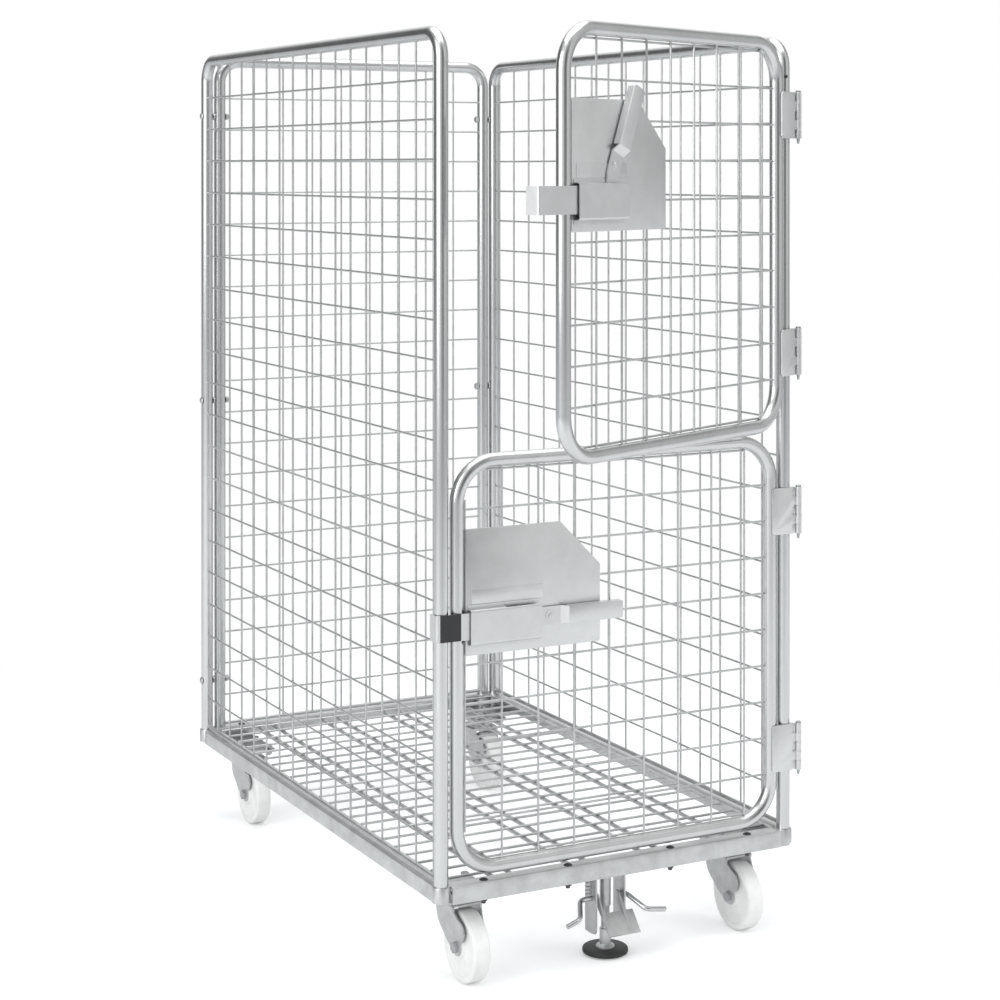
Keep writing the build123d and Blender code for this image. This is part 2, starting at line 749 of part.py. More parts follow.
for door in ("lower", "upper"):
    ring = slab(0, door_width, tube_radius, door_height - tube_radius)
    ring_tube = round_tube(door_face(door), ring, door_bend, closed=True)
    with BuildPart() as door_frame:
        add(ring_tube)
    save(door_frame, f"{door}_door_frame")

    with BuildPart() as door_mesh:
        for k in range(door_row_count):
            height = door_row_start + k * door_row_pitch
            start = ring_start(min(height, door_height - height) - tube_radius)
            with BuildSketch(door_cross(door, start, -wire_offset, height)):
                RegularPolygon(wire_radius, side_count=wire_sides)
            extrude(amount=door_width - 2 * start)
        for k in range(door_upright_count):
            place = door_upright_start + k * door_upright_pitch
            start = ring_start(min(place, door_width - place)) + tube_radius
            with BuildSketch(door_plan(door, start, place, wire_offset)):
                RegularPolygon(wire_radius, side_count=wire_sides)
            extrude(amount=door_height - 2 * start)
    save(door_mesh, f"{door}_door_mesh")

    with BuildPart() as hinge_leaves:
        across, outward = door_axes(door)
        for middle in (hinge_inset, door_height - hinge_inset):
            pin_point = door_point(door, hinge_reach, hinge_offset_y, middle - hinge_height / 2)
            with Locations(Plane(origin=pin_point, x_dir=(-across[0], -across[1], 0), z_dir=(0, 0, 1))):
                add(door_leaf)
    save(hinge_leaves, f"{door}_hinge_leaves")

    with BuildPart() as latch_plate:
        with BuildSketch(door_face(door, plate_back)):
            with BuildLine():
                Polyline(
                    (latch_left, latch_bottom),
                    (latch_right, latch_bottom),
                    (latch_right, latch_top - latch_cut),
                    (latch_right - latch_cut, latch_top),
                    (latch_left, latch_top),
                    close=True,
                )
            make_face()
        extrude(amount=latch_wall)
        with BuildSketch(door_face(door, plate_front)):
            with BuildLine():
                Polyline(*slab(emboss_left, emboss_right, emboss_bottom, emboss_top), close=True)
            make_face()
        extrude(amount=emboss_height, taper=45)
        with BuildSketch(door_face(door, plate_front, lever_pivot_x, lever_pivot_y)):
            RegularPolygon(stud_collar_radius, side_count=round_sides)
        extrude(amount=lever_gap * 2 - seat_gap)
        with BuildSketch(door_face(door, plate_front, lever_pivot_x, lever_pivot_y)):
            Circle(stud_radius)
        extrude(amount=lever_front + seat_gap - plate_front)
    save(latch_plate, f"{door}_latch_plate")

    with BuildPart() as latch_guide:
        with BuildSketch(door_cross(door, guide_left)) as hat:
            with BuildLine():
                Polyline(*slab(-guide_front, -plate_front, guide_bottom, guide_top), close=True)
            make_face()
            fillet(hat.vertices().group_by(Axis.X)[0], guide_round)
            offset(amount=-guide_wall, mode=Mode.SUBTRACT)
            with BuildLine():
                Polyline(*slab(-plate_front - guide_wall, -plate_front,
                               guide_bottom + guide_wall, guide_top - guide_wall), close=True)
            make_face(mode=Mode.SUBTRACT)
            with BuildLine():
                Polyline(*slab(-plate_front - guide_wall, -plate_front,
                               guide_bottom - guide_flange, guide_bottom + guide_wall), close=True)
            make_face()
            with BuildLine():
                Polyline(*slab(-plate_front - guide_wall, -plate_front,
                               guide_top - guide_wall, guide_top + guide_flange), close=True)
            make_face()
        extrude(amount=guide_right - guide_left)
        with BuildSketch(door_face(door, lever_back - seat_gap)):
            with BuildLine():
                Polyline(*slab(slot_left, guide_right, guide_top - 2 * guide_wall, guide_top + guide_wall),
                         close=True)
            make_face()
        extrude(amount=guide_front - guide_wall - lever_back, mode=Mode.SUBTRACT)
    save(latch_guide, f"{door}_latch_guide")

    slid = strap_travel if door == "upper" else 0
    with BuildPart() as latch_strap:
        with BuildSketch(door_plan(door, strap_middle - strap_height / 2, -slid)) as bent:
            lip = -lip_reach
            with BuildLine():
                Polyline(
                    (strap_inner_end, -strap_back),
                    (strap_inner_end, -strap_back - strap_wall),
                    (lip, -strap_back - strap_wall),
                    (lip, -strap_back - strap_wall + strap_lip),
                    (lip + strap_wall, -strap_back - strap_wall + strap_lip),
                    (lip + strap_wall, -strap_back),
                    close=True,
                )
            make_face()
            corner = bent.vertices().group_by(Axis.X)[0].sort_by(Axis.Y)[0]
            fillet(corner, strap_bend)
        extrude(amount=strap_height)
    save(latch_strap, f"{door}_latch_strap")

    with BuildPart() as latch_lever:
        with BuildSketch(lever_face(door, lever_back)):
            web_left = lever_rivet_x - lever_pivot_x - lever_width / 4
            web_right = lever_tip - lever_pivot_x - lever_width / 2
            with BuildLine():
                Polyline(*slab(web_left, web_right, lever_rise - lever_width / 2, lever_rise + lever_width / 2),
                         close=True)
            make_face()
            with Locations((web_right, lever_rise)):
                RegularPolygon(lever_width / 2, side_count=tube_sides)
            with BuildLine():
                Polyline(
                    (0, -neck_width / 2),
                    (web_left, lever_rise - lever_width / 2),
                    (web_left, lever_rise + lever_width / 2),
                    (0, neck_width / 2),
                    close=True,
                )
            make_face()
            RegularPolygon(neck_width / 2, side_count=round_sides)
            RegularPolygon(stud_radius + slip_gap, side_count=round_sides, major_radius=False,
                           mode=Mode.SUBTRACT)
            hole_middle = (lever_hole_left + lever_hole_right) / 2 - lever_pivot_x
            with Locations((hole_middle, lever_rise)):
                Rectangle(lever_hole_right - lever_hole_left, lever_hole_height, mode=Mode.SUBTRACT)
        extrude(amount=lever_wall)
        with BuildSketch(lever_face(door, lever_front)):
            channel_left = lever_channel_start - lever_pivot_x
            with BuildLine():
                Polyline(*slab(channel_left, web_right, lever_rise - lever_width / 2,
                               lever_rise + lever_width / 2), close=True)
            make_face()
            with Locations((web_right, lever_rise)):
                RegularPolygon(lever_width / 2, side_count=tube_sides)
            inside = lever_width / 2 - lever_flange_wall
            with BuildLine():
                Polyline(*slab(channel_left, web_right, lever_rise - inside, lever_rise + inside), close=True)
            make_face(mode=Mode.SUBTRACT)
            with Locations((web_right, lever_rise)):
                RegularPolygon(inside, side_count=tube_sides, mode=Mode.SUBTRACT)
        extrude(amount=lever_flange)
        with BuildSketch(lever_face(door, lever_front)):
            with Locations((lever_rivet_x - lever_pivot_x, lever_rise)):
                RegularPolygon(lever_rivet_radius, side_count=round_sides)
        extrude(amount=lever_rivet_height)
    save(latch_lever, f"{door}_latch_lever")

# Floor lock: bracket with a guide tube, plunger with a rubber foot, lever with two foot rods
lock_front = base_length / 2 - angle_wall - seat_gap
bracket_profile = slab(-bracket_front, bracket_back, bracket_bottom, skirt_bottom)
with BuildPart() as lock_bracket:
    with BuildSketch(level(skirt_bottom)):
        with BuildLine():
            Polyline(*slab(-lock_plate_width / 2, lock_plate_width / 2, -lock_front, lock_y + lock_plate_back),
                     close=True)
        make_face()
        with Locations(*[(sx * mount_bolt_x, flange_bolt_inset - base_length / 2) for sx in (-1, 1)]):
            Rectangle(bolt_hole, bolt_hole, mode=Mode.SUBTRACT)
    extrude(amount=plate_wall)
    for hand in (-1, 1):
        with BuildSketch(side(hand * bracket_half, lock_y)) as cheek:
            with BuildLine():
                Polyline(*bracket_profile, close=True)
            make_face()
            fillet(cheek.vertices().group_by(Axis.Y)[0], bracket_round)
            with Locations((-lever_axis_front, lever_axis_height)):
                Circle(rod_lever_radius + slip_gap, mode=Mode.SUBTRACT)
        extrude(amount=hand * bracket_wall)
    with BuildSketch(level(guide_tube_bottom, 0, lock_y)):
        RegularPolygon(guide_tube_radius, side_count=round_sides)
    extrude(amount=skirt_bottom - guide_tube_bottom)
    with BuildSketch(level(guide_tube_bottom, 0, lock_y)):
        RegularPolygon(stem_radius + slip_gap, side_count=round_sides)
    extrude(amount=skirt_bottom + plate_wall - guide_tube_bottom, mode=Mode.SUBTRACT)
save(lock_bracket, "lock_bracket")

# Return spring beside the bracket, as its outside shape: it hangs between the plate and the lever's rod
spring_x = bracket_half + bracket_wall + spring_gap + spring_radius
spring_bottom = lever_axis_height + rod_lever_radius + seat_gap
with BuildPart() as lock_spring:
    with BuildSketch(level(spring_bottom, -spring_x, lock_y - lever_axis_front)):
        RegularPolygon(spring_radius, side_count=rod_sides)
    extrude(amount=skirt_bottom - spring_bottom)
save(lock_spring, "lock_spring")

foot_top = foot_lift + foot_height
with BuildPart() as lock_plunger:
    for bottom, top, radius in (
        (foot_top, foot_top + foot_cup_height, foot_cup_radius),
        (foot_top, shaft_top, plunger_radius),
        (foot_top, plunger_top, stem_radius),
    ):
        with BuildSketch(level(bottom, 0, lock_y)):
            RegularPolygon(radius, side_count=round_sides)
        extrude(amount=top - bottom)
save(lock_plunger, "lock_plunger")

with BuildPart() as lock_foot:
    with BuildSketch(level(foot_lift, 0, lock_y)):
        RegularPolygon(foot_radius, side_count=foot_sides)
    extrude(amount=foot_height)
    chamfer(lock_foot.edges().group_by(Axis.Z)[-1], foot_edge)
save(lock_foot, "lock_foot")

pedal_run = Vector(pedal_bottom_front - pedal_top_front, pedal_top_height - pedal_bottom_height)
pedal_out = Vector(-pedal_run.Y, pedal_run.X).normalized() * pedal_wall
pedal_back = [(-pedal_top_front, pedal_top_height), (-pedal_bottom_front, pedal_bottom_height)]
pedal_face = [(y + pedal_out.X, z + pedal_out.Y) for y, z in reversed(pedal_back)]
with BuildPart() as lock_pedal:
    with BuildSketch(side(pedal_left, lock_y)):
        with BuildLine():
            Polyline(*pedal_back, *pedal_face, close=True)
        make_face()
    extrude(amount=pedal_right - pedal_left)
    for hand in (-1, 1):
        with BuildSketch(side(hand * pedal_cheek, lock_y)):
            with Locations((-lever_axis_front, lever_axis_height)):
                RegularPolygon(pedal_boss_radius, side_count=round_sides)
            with BuildLine():
                Polyline(*pedal_back, *pedal_face, close=True)
            make_face()
            make_hull()
        extrude(amount=hand * pedal_wall)
save(lock_pedal, "lock_pedal")

rod_start = pedal_cheek + pedal_wall + weld_gap
with BuildPart() as foot_rods:
    for hand, corner_x, knee_x, knee_height, end_x, end_height in (
        (-1, left_corner_x, left_knee_x, left_knee_height, left_end_x, rod_end_height),
        (1, right_corner_x, right_knee_x, right_knee_height, right_end_x, rod_end_height),
    ):
        axis_y = lock_y - lever_axis_front
        bar_y = lock_y - rod_bar_front
        points = [
            level(lever_axis_height, hand * rod_start, axis_y).origin,
            level(lever_axis_height, hand * corner_x, axis_y).origin,
            level(knee_height, hand * knee_x, bar_y).origin,
            level(end_height, hand * end_x, bar_y).origin,
        ]
        with BuildLine() as bar:
            Polyline(*points)
        with BuildSketch(Plane(origin=bar.line @ 0, z_dir=bar.line % 0)):
            RegularPolygon(rod_lever_radius, side_count=rod_sides)
        sweep(path=bar.line, transition=Transition.RIGHT)
save(foot_rods, "foot_rods")
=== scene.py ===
from math import cos, pi, radians, sin, sqrt, tan

import bmesh
import bpy
from mathutils import Matrix, Vector


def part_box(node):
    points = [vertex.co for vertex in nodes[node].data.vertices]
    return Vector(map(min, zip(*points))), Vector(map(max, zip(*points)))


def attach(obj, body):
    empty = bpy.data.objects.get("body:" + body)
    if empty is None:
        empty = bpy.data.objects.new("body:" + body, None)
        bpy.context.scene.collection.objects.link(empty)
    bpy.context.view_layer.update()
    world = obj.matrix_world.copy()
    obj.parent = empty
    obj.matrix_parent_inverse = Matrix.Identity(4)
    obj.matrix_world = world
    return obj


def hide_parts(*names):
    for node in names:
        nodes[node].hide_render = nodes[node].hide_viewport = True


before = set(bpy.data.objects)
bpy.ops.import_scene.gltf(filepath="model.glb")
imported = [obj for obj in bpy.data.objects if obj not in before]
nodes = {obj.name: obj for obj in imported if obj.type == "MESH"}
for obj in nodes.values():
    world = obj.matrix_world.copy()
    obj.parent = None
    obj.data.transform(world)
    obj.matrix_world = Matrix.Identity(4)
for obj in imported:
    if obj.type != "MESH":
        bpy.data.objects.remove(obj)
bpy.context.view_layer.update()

# The roll container's base: four lengths of folded steel angle between round corner
# sleeves, zinc plated after welding. The middle of this base is where every other piece
# is placed from.
deck_height = 0.188
skirt_height = 0.030
flange_width = 0.030
skirt_foot = deck_height - skirt_height
angle_wall = 0.003
outer_fold = 0.0032
cut_edge = 0.0007
base_half_x = 0.363
base_half_y = 0.600
leg_x = 0.354
leg_y = 0.584
rear_leg_x = 0.3245
end_angle_half = leg_x - 0.0140
side_angle_half = leg_y - 0.0130
sleeve = 0.0160
sleeve_bore = 0.0127
sleeve_foot = skirt_foot + 0.004
sleeve_top = deck_height + 0.0006
sleeve_edge = 0.0012
tiny = 1e-6
smooth_below = radians(36)
corner_above = radians(50)
base_low, base_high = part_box("base_frame")
base_x = (base_low.x + base_high.x) / 2
base_y = (base_low.y + base_high.y) / 2


def add_node(tree, kind, settings=()):
    """A shader node of a kind, with some of its inputs set by name or number."""
    node = tree.nodes.new("ShaderNode" + kind)
    for label, value in dict(settings).items():
        node.inputs[label].default_value = value
    return node


def zinc_finish(name, colour, roughness, metal=0.85, mottle=0.5, scale=60.0, streak=1.0,
                bump=0.12):
    """A faint cloudy tone, which also makes the gloss uneven, under a fine grain."""
    material = bpy.data.materials.new(name)
    material.use_nodes = True
    tree = material.node_tree
    shader = tree.nodes["Principled BSDF"]
    shader.inputs["Metallic"].default_value = metal
    place = add_node(tree, "TexCoord")
    stretch = add_node(tree, "Mapping", {"Scale": (1.0, 1.0, streak)})
    tree.links.new(place.outputs["Object"], stretch.inputs["Vector"])
    cloud = add_node(tree, "TexNoise", {"Scale": scale, "Detail": 5.0, "Roughness": 0.6})
    tree.links.new(stretch.outputs["Vector"], cloud.inputs["Vector"])
    tone = add_node(tree, "ValToRGB")
    dark, pale = 1.0 - 0.22 * mottle, 1.0 + 0.12 * mottle
    for stop, position, share in zip(tone.color_ramp.elements, (0.32, 0.68), (dark, pale)):
        stop.position = position
        stop.color = (*(min(1.0, channel * share) for channel in colour), 1.0)
    tree.links.new(cloud.outputs["Fac"], tone.inputs["Fac"])
    tree.links.new(tone.outputs["Color"], shader.inputs["Base Color"])
    gloss = add_node(tree, "MapRange", {"To Min": roughness - 0.06, "To Max": roughness + 0.10})
    tree.links.new(cloud.outputs["Fac"], gloss.inputs["Value"])
    tree.links.new(gloss.outputs["Result"], shader.inputs["Roughness"])
    grain = add_node(tree, "TexNoise", {"Scale": scale * 14.0, "Detail": 2.0})
    tree.links.new(stretch.outputs["Vector"], grain.inputs["Vector"])
    relief = add_node(tree, "Bump", {"Strength": bump, "Distance": 0.0003})
    tree.links.new(grain.outputs["Fac"], relief.inputs["Height"])
    tree.links.new(relief.outputs["Normal"], shader.inputs["Normal"])
    return material


def dress(material, *names):
    """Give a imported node's own surface a finish."""
    for name in names:
        mesh = nodes[name].data
        mesh.materials.clear()
        mesh.materials.append(material)


def finished(name, mesh, material, body, replaced=()):
    """Make an object from a bmesh, smooth all but its edges, and let it ride on its body."""
    bmesh.ops.recalc_face_normals(mesh, faces=mesh.faces)
    data = bpy.data.meshes.new(name)
    mesh.to_mesh(data)
    mesh.free()
    data.materials.append(material)
    data.polygons.foreach_set("use_smooth", [True] * len(data.polygons))
    data.set_sharp_from_angle(angle=smooth_below)
    piece = bpy.data.objects.new(name, data)
    bpy.context.scene.collection.objects.link(piece)
    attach(piece, body)
    if replaced:
        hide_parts(*replaced)


def at(x, y, z):
    """A place from the middle of the base on the floor."""
    return Vector((base_x + x, base_y + y, z))


def moved(x, y, z):
    """The matrix that moves a drawing to a place from the middle of the base."""
    return Matrix.Translation(at(x, y, z))


def axes(origin, across, up):
    """The matrix that lays a drawing's X and Y along two directions, with its Z out of it."""
    across, up = Vector(across).normalized(), Vector(up).normalized()
    place = Matrix((across, up, across.cross(up))).transposed().to_4x4()
    place.translation = origin
    return place


def verts_of(geometry):
    """The vertices in a bmesh operator's result."""
    return [item for item in geometry if isinstance(item, bmesh.types.BMVert)]


def bevelled(mesh, edges, width, segments):
    """Round or chamfer some edges of a bmesh."""
    bmesh.ops.bevel(mesh, geom=edges, offset=width, segments=segments, profile=0.5,
                    affect="EDGES", material=-1)


def flat_face(mesh, outline, holes=()):
    """One flat face in the drawing plane, with round or square holes left open."""
    edges = []
    for loop in (outline, *holes):
        corners = [mesh.verts.new((x, y, 0.0)) for x, y in loop]
        edges += [mesh.edges.new(pair) for pair in zip(corners, corners[1:] + corners[:1])]
    if not holes:
        return [bmesh.ops.contextual_create(mesh, geom=edges)["faces"][0]]
    filled = bmesh.ops.triangle_fill(mesh, use_beauty=True, use_dissolve=False, edges=edges)
    return [item for item in filled["geom"] if isinstance(item, bmesh.types.BMFace)]


def pressed(outline, thickness, place, holes=(), round_top=0.0, round_all=0.0):
    """A plate cut to an outline in the drawing plane and given its thickness upwards."""
    mesh = bmesh.new()
    faces = flat_face(mesh, outline, holes)
    grown = bmesh.ops.extrude_face_region(mesh, geom=faces)["geom"]
    bmesh.ops.translate(mesh, verts=verts_of(grown), vec=(0.0, 0.0, thickness))
    bmesh.ops.recalc_face_normals(mesh, faces=mesh.faces)
    soft = []
    for edge in mesh.edges:
        a, b = (vert.co.z for vert in edge.verts)
        if len(edge.link_faces) == 2 and edge.calc_face_angle(0.0) > corner_above:
            if round_all and abs(a - b) < tiny:
                soft.append(edge)
            elif round_top and min(a, b) > thickness - tiny:
                soft.append(edge)
    if soft:
        bevelled(mesh, soft, round_top or round_all, 2)
    bmesh.ops.transform(mesh, matrix=place, verts=mesh.verts)
    return mesh


def joined(*meshes):
    """Several bmeshes as one."""
    whole = bmesh.new()
    for mesh in meshes:
        part = bpy.data.meshes.new("part")
        mesh.to_mesh(part)
        mesh.free()
        whole.from_mesh(part)
        bpy.data.meshes.remove(part)
    return whole


def turned(profile, place, steps=32):
    """A body of revolution: a closed line of (radius, height) points spun round its Z."""
    mesh = bmesh.new()
    points = [mesh.verts.new((radius, 0.0, height)) for radius, height in profile]
    line = [mesh.edges.new(pair) for pair in zip(points, points[1:] + points[:1])]
    bmesh.ops.spin(mesh, geom=points + line, cent=(0.0, 0.0, 0.0), axis=(0.0, 0.0, 1.0),
                   angle=2 * pi, steps=steps, use_merge=True, use_duplicate=False)
    bmesh.ops.remove_doubles(mesh, verts=mesh.verts, dist=tiny)
    bmesh.ops.recalc_face_normals(mesh, faces=mesh.faces)
    bmesh.ops.transform(mesh, matrix=place, verts=mesh.verts)
    return mesh


def arc(x, y, radius, start, end, steps):
    """Points on an arc in the drawing plane, angles in degrees."""
    turns = [radians(start + (end - start) * k / steps) for k in range(steps + 1)]
    return [(x + radius * cos(turn), y + radius * sin(turn)) for turn in turns]


def ring_of(x, y, radius, steps=24):
    """A whole circle in the drawing plane."""
    return arc(x, y, radius, 0.0, 360.0 * (steps - 1) / steps, steps - 1)


def angle_length(half_length, place):
    """A length of folded angle, its drawing seen from the end, with a rounded fold."""
    mesh = bmesh.new()
    flat_face(mesh, [(0.0, 0.0), (angle_wall, 0.0), (angle_wall, skirt_height - angle_wall),
                     (flange_width, skirt_height - angle_wall), (flange_width, skirt_height),
                     (0.0, skirt_height)])
    bmesh.ops.translate(mesh, verts=mesh.verts, vec=(0.0, 0.0, -half_length))
    grown = bmesh.ops.extrude_face_region(mesh, geom=mesh.faces[:])["geom"]
    bmesh.ops.translate(mesh, verts=verts_of(grown), vec=(0.0, 0.0, 2 * half_length))
    for x, y, radius in ((0.0, skirt_height, outer_fold), (0.0, 0.0, cut_edge),
                         (flange_width, skirt_height, cut_edge)):
        fold = [edge for edge in mesh.edges
                if all(abs(vert.co.x - x) < tiny and abs(vert.co.y - y) < tiny
                       for vert in edge.verts)]
        bevelled(mesh, fold, radius, 3)
    bmesh.ops.transform(mesh, matrix=place, verts=mesh.verts)
    return mesh


angle_zinc = zinc_finish("angle_zinc", (0.60, 0.61, 0.61), 0.36, mottle=0.8, scale=25.0)
pressing_zinc = zinc_finish("pressing_zinc", (0.57, 0.58, 0.58), 0.40, mottle=0.6, scale=45.0)
up = (0, 0, 1)
lengths = [
    angle_length(end_angle_half, axes(at(0.0, -base_half_y, skirt_foot), (0, 1, 0), up)),
    angle_length(end_angle_half, axes(at(0.0, base_half_y, skirt_foot), (0, -1, 0), up)),
    angle_length(side_angle_half, axes(at(-base_half_x, 0.0, skirt_foot), (1, 0, 0), up)),
    angle_length(side_angle_half, axes(at(base_half_x, 0.0, skirt_foot), (-1, 0, 0), up)),
]
sleeve_profile = [(sleeve_bore, sleeve_foot), (sleeve, sleeve_foot),
                  (sleeve, sleeve_top - sleeve_edge),
                  (sleeve - sleeve_edge / 3, sleeve_top - sleeve_edge / 3),
                  (sleeve - sleeve_edge, sleeve_top), (sleeve_bore, sleeve_top)]
corners = [(hand * leg_x, end * leg_y) for hand in (-1, 1) for end in (-1, 1)]
for x, y in corners + [(-rear_leg_x, leg_y), (rear_leg_x, leg_y)]:
    lengths.append(turned(sleeve_profile, moved(x, y, 0.0)))
finished("base_angles", joined(*lengths), angle_zinc, "cage", ["base_frame"])
dress(pressing_zinc, "corner_plates")

# Coach bolts of zinc-plated steel, with low round heads, hold the floor lock and the
# corner plates to the base. Their nuts and the ends of their shanks show under the flange,
# and their near-black colour is painted shade from under the flange.
# Near-black zinc: painted shade for the bolts that hang under the flange.
shaded_bolt_zinc = zinc_finish("shaded_bolt_zinc", (0.10, 0.10, 0.105), 0.38, mottle=0.8, scale=90.0)
head_radius = 0.008
head_height = 0.0036
head_slope = radians(60)
head_rings = 5
nut_height = 0.0065
nut_chamfer = 0.0007
coach_nut = 0.0068
corner_bolt_x = 0.273
lock_bolt_x = 0.106
flange_bolt_y = base_half_y - 0.015


def round_head(place):
    """A mushroom bolt head, its flat side on the drawing plane."""
    sphere = head_radius / sin(head_slope)
    profile = [(head_radius, 0.0)]
    for ring in range(1, head_rings + 1):
        turn = head_slope * (1 - ring / head_rings)
        rise = (cos(turn) - cos(head_slope)) / (1 - cos(head_slope))
        profile.append((sphere * sin(turn), head_height * rise))
    return turned(profile + [(0.0, 0.0)], place, 24)


def hex_nut(place, radius=0.0075, height=nut_height):
    """A hexagon nut with its outer corners turned off."""
    mesh = bmesh.new()
    bmesh.ops.create_cone(mesh, cap_ends=True, segments=6, radius1=radius, radius2=radius,
                          depth=height, matrix=Matrix.Translation((0.0, 0.0, height / 2)))
    rim = [edge for edge in mesh.edges if all(vert.co.z > height - tiny for vert in edge.verts)]
    bevelled(mesh, rim, nut_chamfer, 1)
    bmesh.ops.transform(mesh, matrix=place, verts=mesh.verts)
    return mesh


def shank_end(place, radius, tip, length):
    """The end of a bolt that stands out below its nut, with a turned point."""
    return turned([(0.0, -length), (tip, -length), (radius, nut_chamfer - length),
                   (radius, -0.0060), (0.0, -0.0060)], place, 12)


def under(x, y, z):
    """The matrix that hangs a nut below a face."""
    return axes(at(x, y, z), (1, 0, 0), (0, -1, 0))


bolts = []
spots = [(hand * corner_bolt_x, end * flange_bolt_y) for hand in (-1, 1) for end in (-1, 1)]
for x, y in spots + [(-lock_bolt_x, -flange_bolt_y), (lock_bolt_x, -flange_bolt_y)]:
    bolts.append(round_head(moved(x, y, deck_height)))
    bolts.append(hex_nut(under(x, y, skirt_foot), coach_nut))
    bolts.append(shank_end(moved(x, y, skirt_foot), 0.0039, 0.0032, 0.0105))
finished("coach_bolts", joined(*bolts), shaded_bolt_zinc, "cage", ["flange_bolts"])

# Deck grid: 5 mm cross wires welded on top of four pairs of 8 mm bearers, which run
# from end to end under the flanges of the base frame.
wire_zinc = zinc_finish("wire_zinc", (0.56, 0.57, 0.57), 0.33, mottle=0.6, scale=30.0, bump=0.05)
deck_wire = 0.0025
deck_wire_count = 23
deck_wire_pitch = 0.050
bearer = 0.004
bearer_pairs = 4
bearer_pitch = 0.150
bearer_half_gap = 0.018
weld_sink = 0.0004
bearer_low, bearer_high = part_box("deck_bearers")
wires_low, wires_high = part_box("deck_wires")
bearer_z = bearer_low.z + bearer


def add_wire(mesh, start, end, radius, sides=10):
    """One straight drawn wire with square-cut ends, from start to end."""
    start, end = Vector(start), Vector(end)
    run = end - start
    turn = run.to_track_quat("Z", "Y").to_matrix().to_4x4()
    bmesh.ops.create_cone(mesh, cap_ends=True, segments=sides, radius1=radius, radius2=radius,
                          depth=run.length, matrix=Matrix.Translation((start + end) / 2) @ turn)


grid = bmesh.new()
for pair in range(bearer_pairs):
    for side in (-1, 1):
        x = base_x + (pair - (bearer_pairs - 1) / 2) * bearer_pitch + side * bearer_half_gap
        add_wire(grid, (x, bearer_low.y, bearer_z), (x, bearer_high.y, bearer_z), bearer, 12)
finished("deck_bearer_rods", grid, wire_zinc, "cage", ["deck_bearers"])
grid = bmesh.new()
z = bearer_z + bearer + deck_wire - weld_sink
for step in range(deck_wire_count):
    y = base_y + (step - (deck_wire_count - 1) / 2) * deck_wire_pitch
    add_wire(grid, (wires_low.x, y, z), (wires_high.x, y, z), deck_wire)
finished("deck_cross_wires", grid, wire_zinc, "cage", ["deck_wires"])

# Side and rear panels: a tube bent to an upturned U with 4 mm wires welded between its
# legs. The right panel is the left one turned round, so its uprights start at the back.
tube_zinc = zinc_finish("tube_zinc", (0.64, 0.65, 0.65), 0.20, metal=1.0, mottle=0.30,
                        scale=18.0, streak=0.15, bump=0.04)
tube = 0.0125
wire = 0.002
foot_rod = 0.004
cage_height = 1.474
rail_z = deck_height + cage_height - tube
foot_z = skirt_foot + 0.0043
rod_z = deck_height + 0.008
upright_foot = rod_z + 0.003
panel_bend = 0.045
row_count = 20
first_row = deck_height + 0.070
row_pitch = 0.069
upright_count = 16
first_upright = 0.0485
upright_pitch = 0.0713
rear_upright_count = 8
rear_upright_pitch = 0.0705
tuck = 0.001
seat = 0.0005


def bent_tube(mesh, corners, bend, radius, closed=False, sides=28, steps=10):
    """A round tube or rod bent at its corners: a ring of vertices carried through each stop."""
    count = len(corners)
    stops = []
    for i, corner in enumerate(corners):
        corner = Vector(corner)
        if not closed and i in (0, count - 1):
            other = Vector(corners[1] if i == 0 else corners[-2])
            stops.append((corner, (other - corner).normalized() * (1 if i == 0 else -1)))
            continue
        back = (Vector(corners[i - 1]) - corner).normalized()
        ahead = (Vector(corners[(i + 1) % count]) - corner).normalized()
        sweep = (-back).angle(ahead)
        inward = (ahead - back * ahead.dot(back)).normalized()
        middle = corner + back * bend * tan(sweep / 2) + inward * bend
        for k in range(steps + 1):
            turn = sweep * k / steps
            stops.append((middle - inward * bend * cos(turn) - back * bend * sin(turn),
                          inward * sin(turn) - back * cos(turn)))
    across = stops[0][1].orthogonal().normalized()
    rings = []
    before = stops[0][1]
    for point, run in stops:
        across = before.rotation_difference(run) @ across
        before = run
        place = Matrix((across, run.cross(across), run)).transposed().to_4x4()
        place.translation = point
        ring = bmesh.ops.create_circle(mesh, cap_ends=False, segments=sides, radius=radius,
                                       matrix=place)["verts"]
        rings.append(list({edge for vert in ring for edge in vert.link_edges}))
    for first, second in list(zip(rings, rings[1:])) + ([(rings[-1], rings[0])] if closed else []):
        bmesh.ops.bridge_loops(mesh, edges=first + second)
    if not closed:
        bmesh.ops.holes_fill(mesh, edges=rings[0] + rings[-1], sides=0)


def panel_tube(name, first, second, replaced):
    """A panel's tube, from one leg's foot up, over and down to the other's."""
    frame_tube = bmesh.new()
    bent_tube(frame_tube, [(*first, foot_z), (*first, rail_z), (*second, rail_z),
                           (*second, foot_z)], panel_bend, tube)
    finished(name, frame_tube, tube_zinc, "cage", [replaced])


def under_bend(offset, half_span):
    """Height at which an upright meets the underside of a panel's bent rail."""
    out = abs(offset) + wire - (half_span - panel_bend)
    if out <= 0:
        return rail_z - tube
    return rail_z - panel_bend + sqrt((panel_bend - tube) ** 2 - out ** 2)


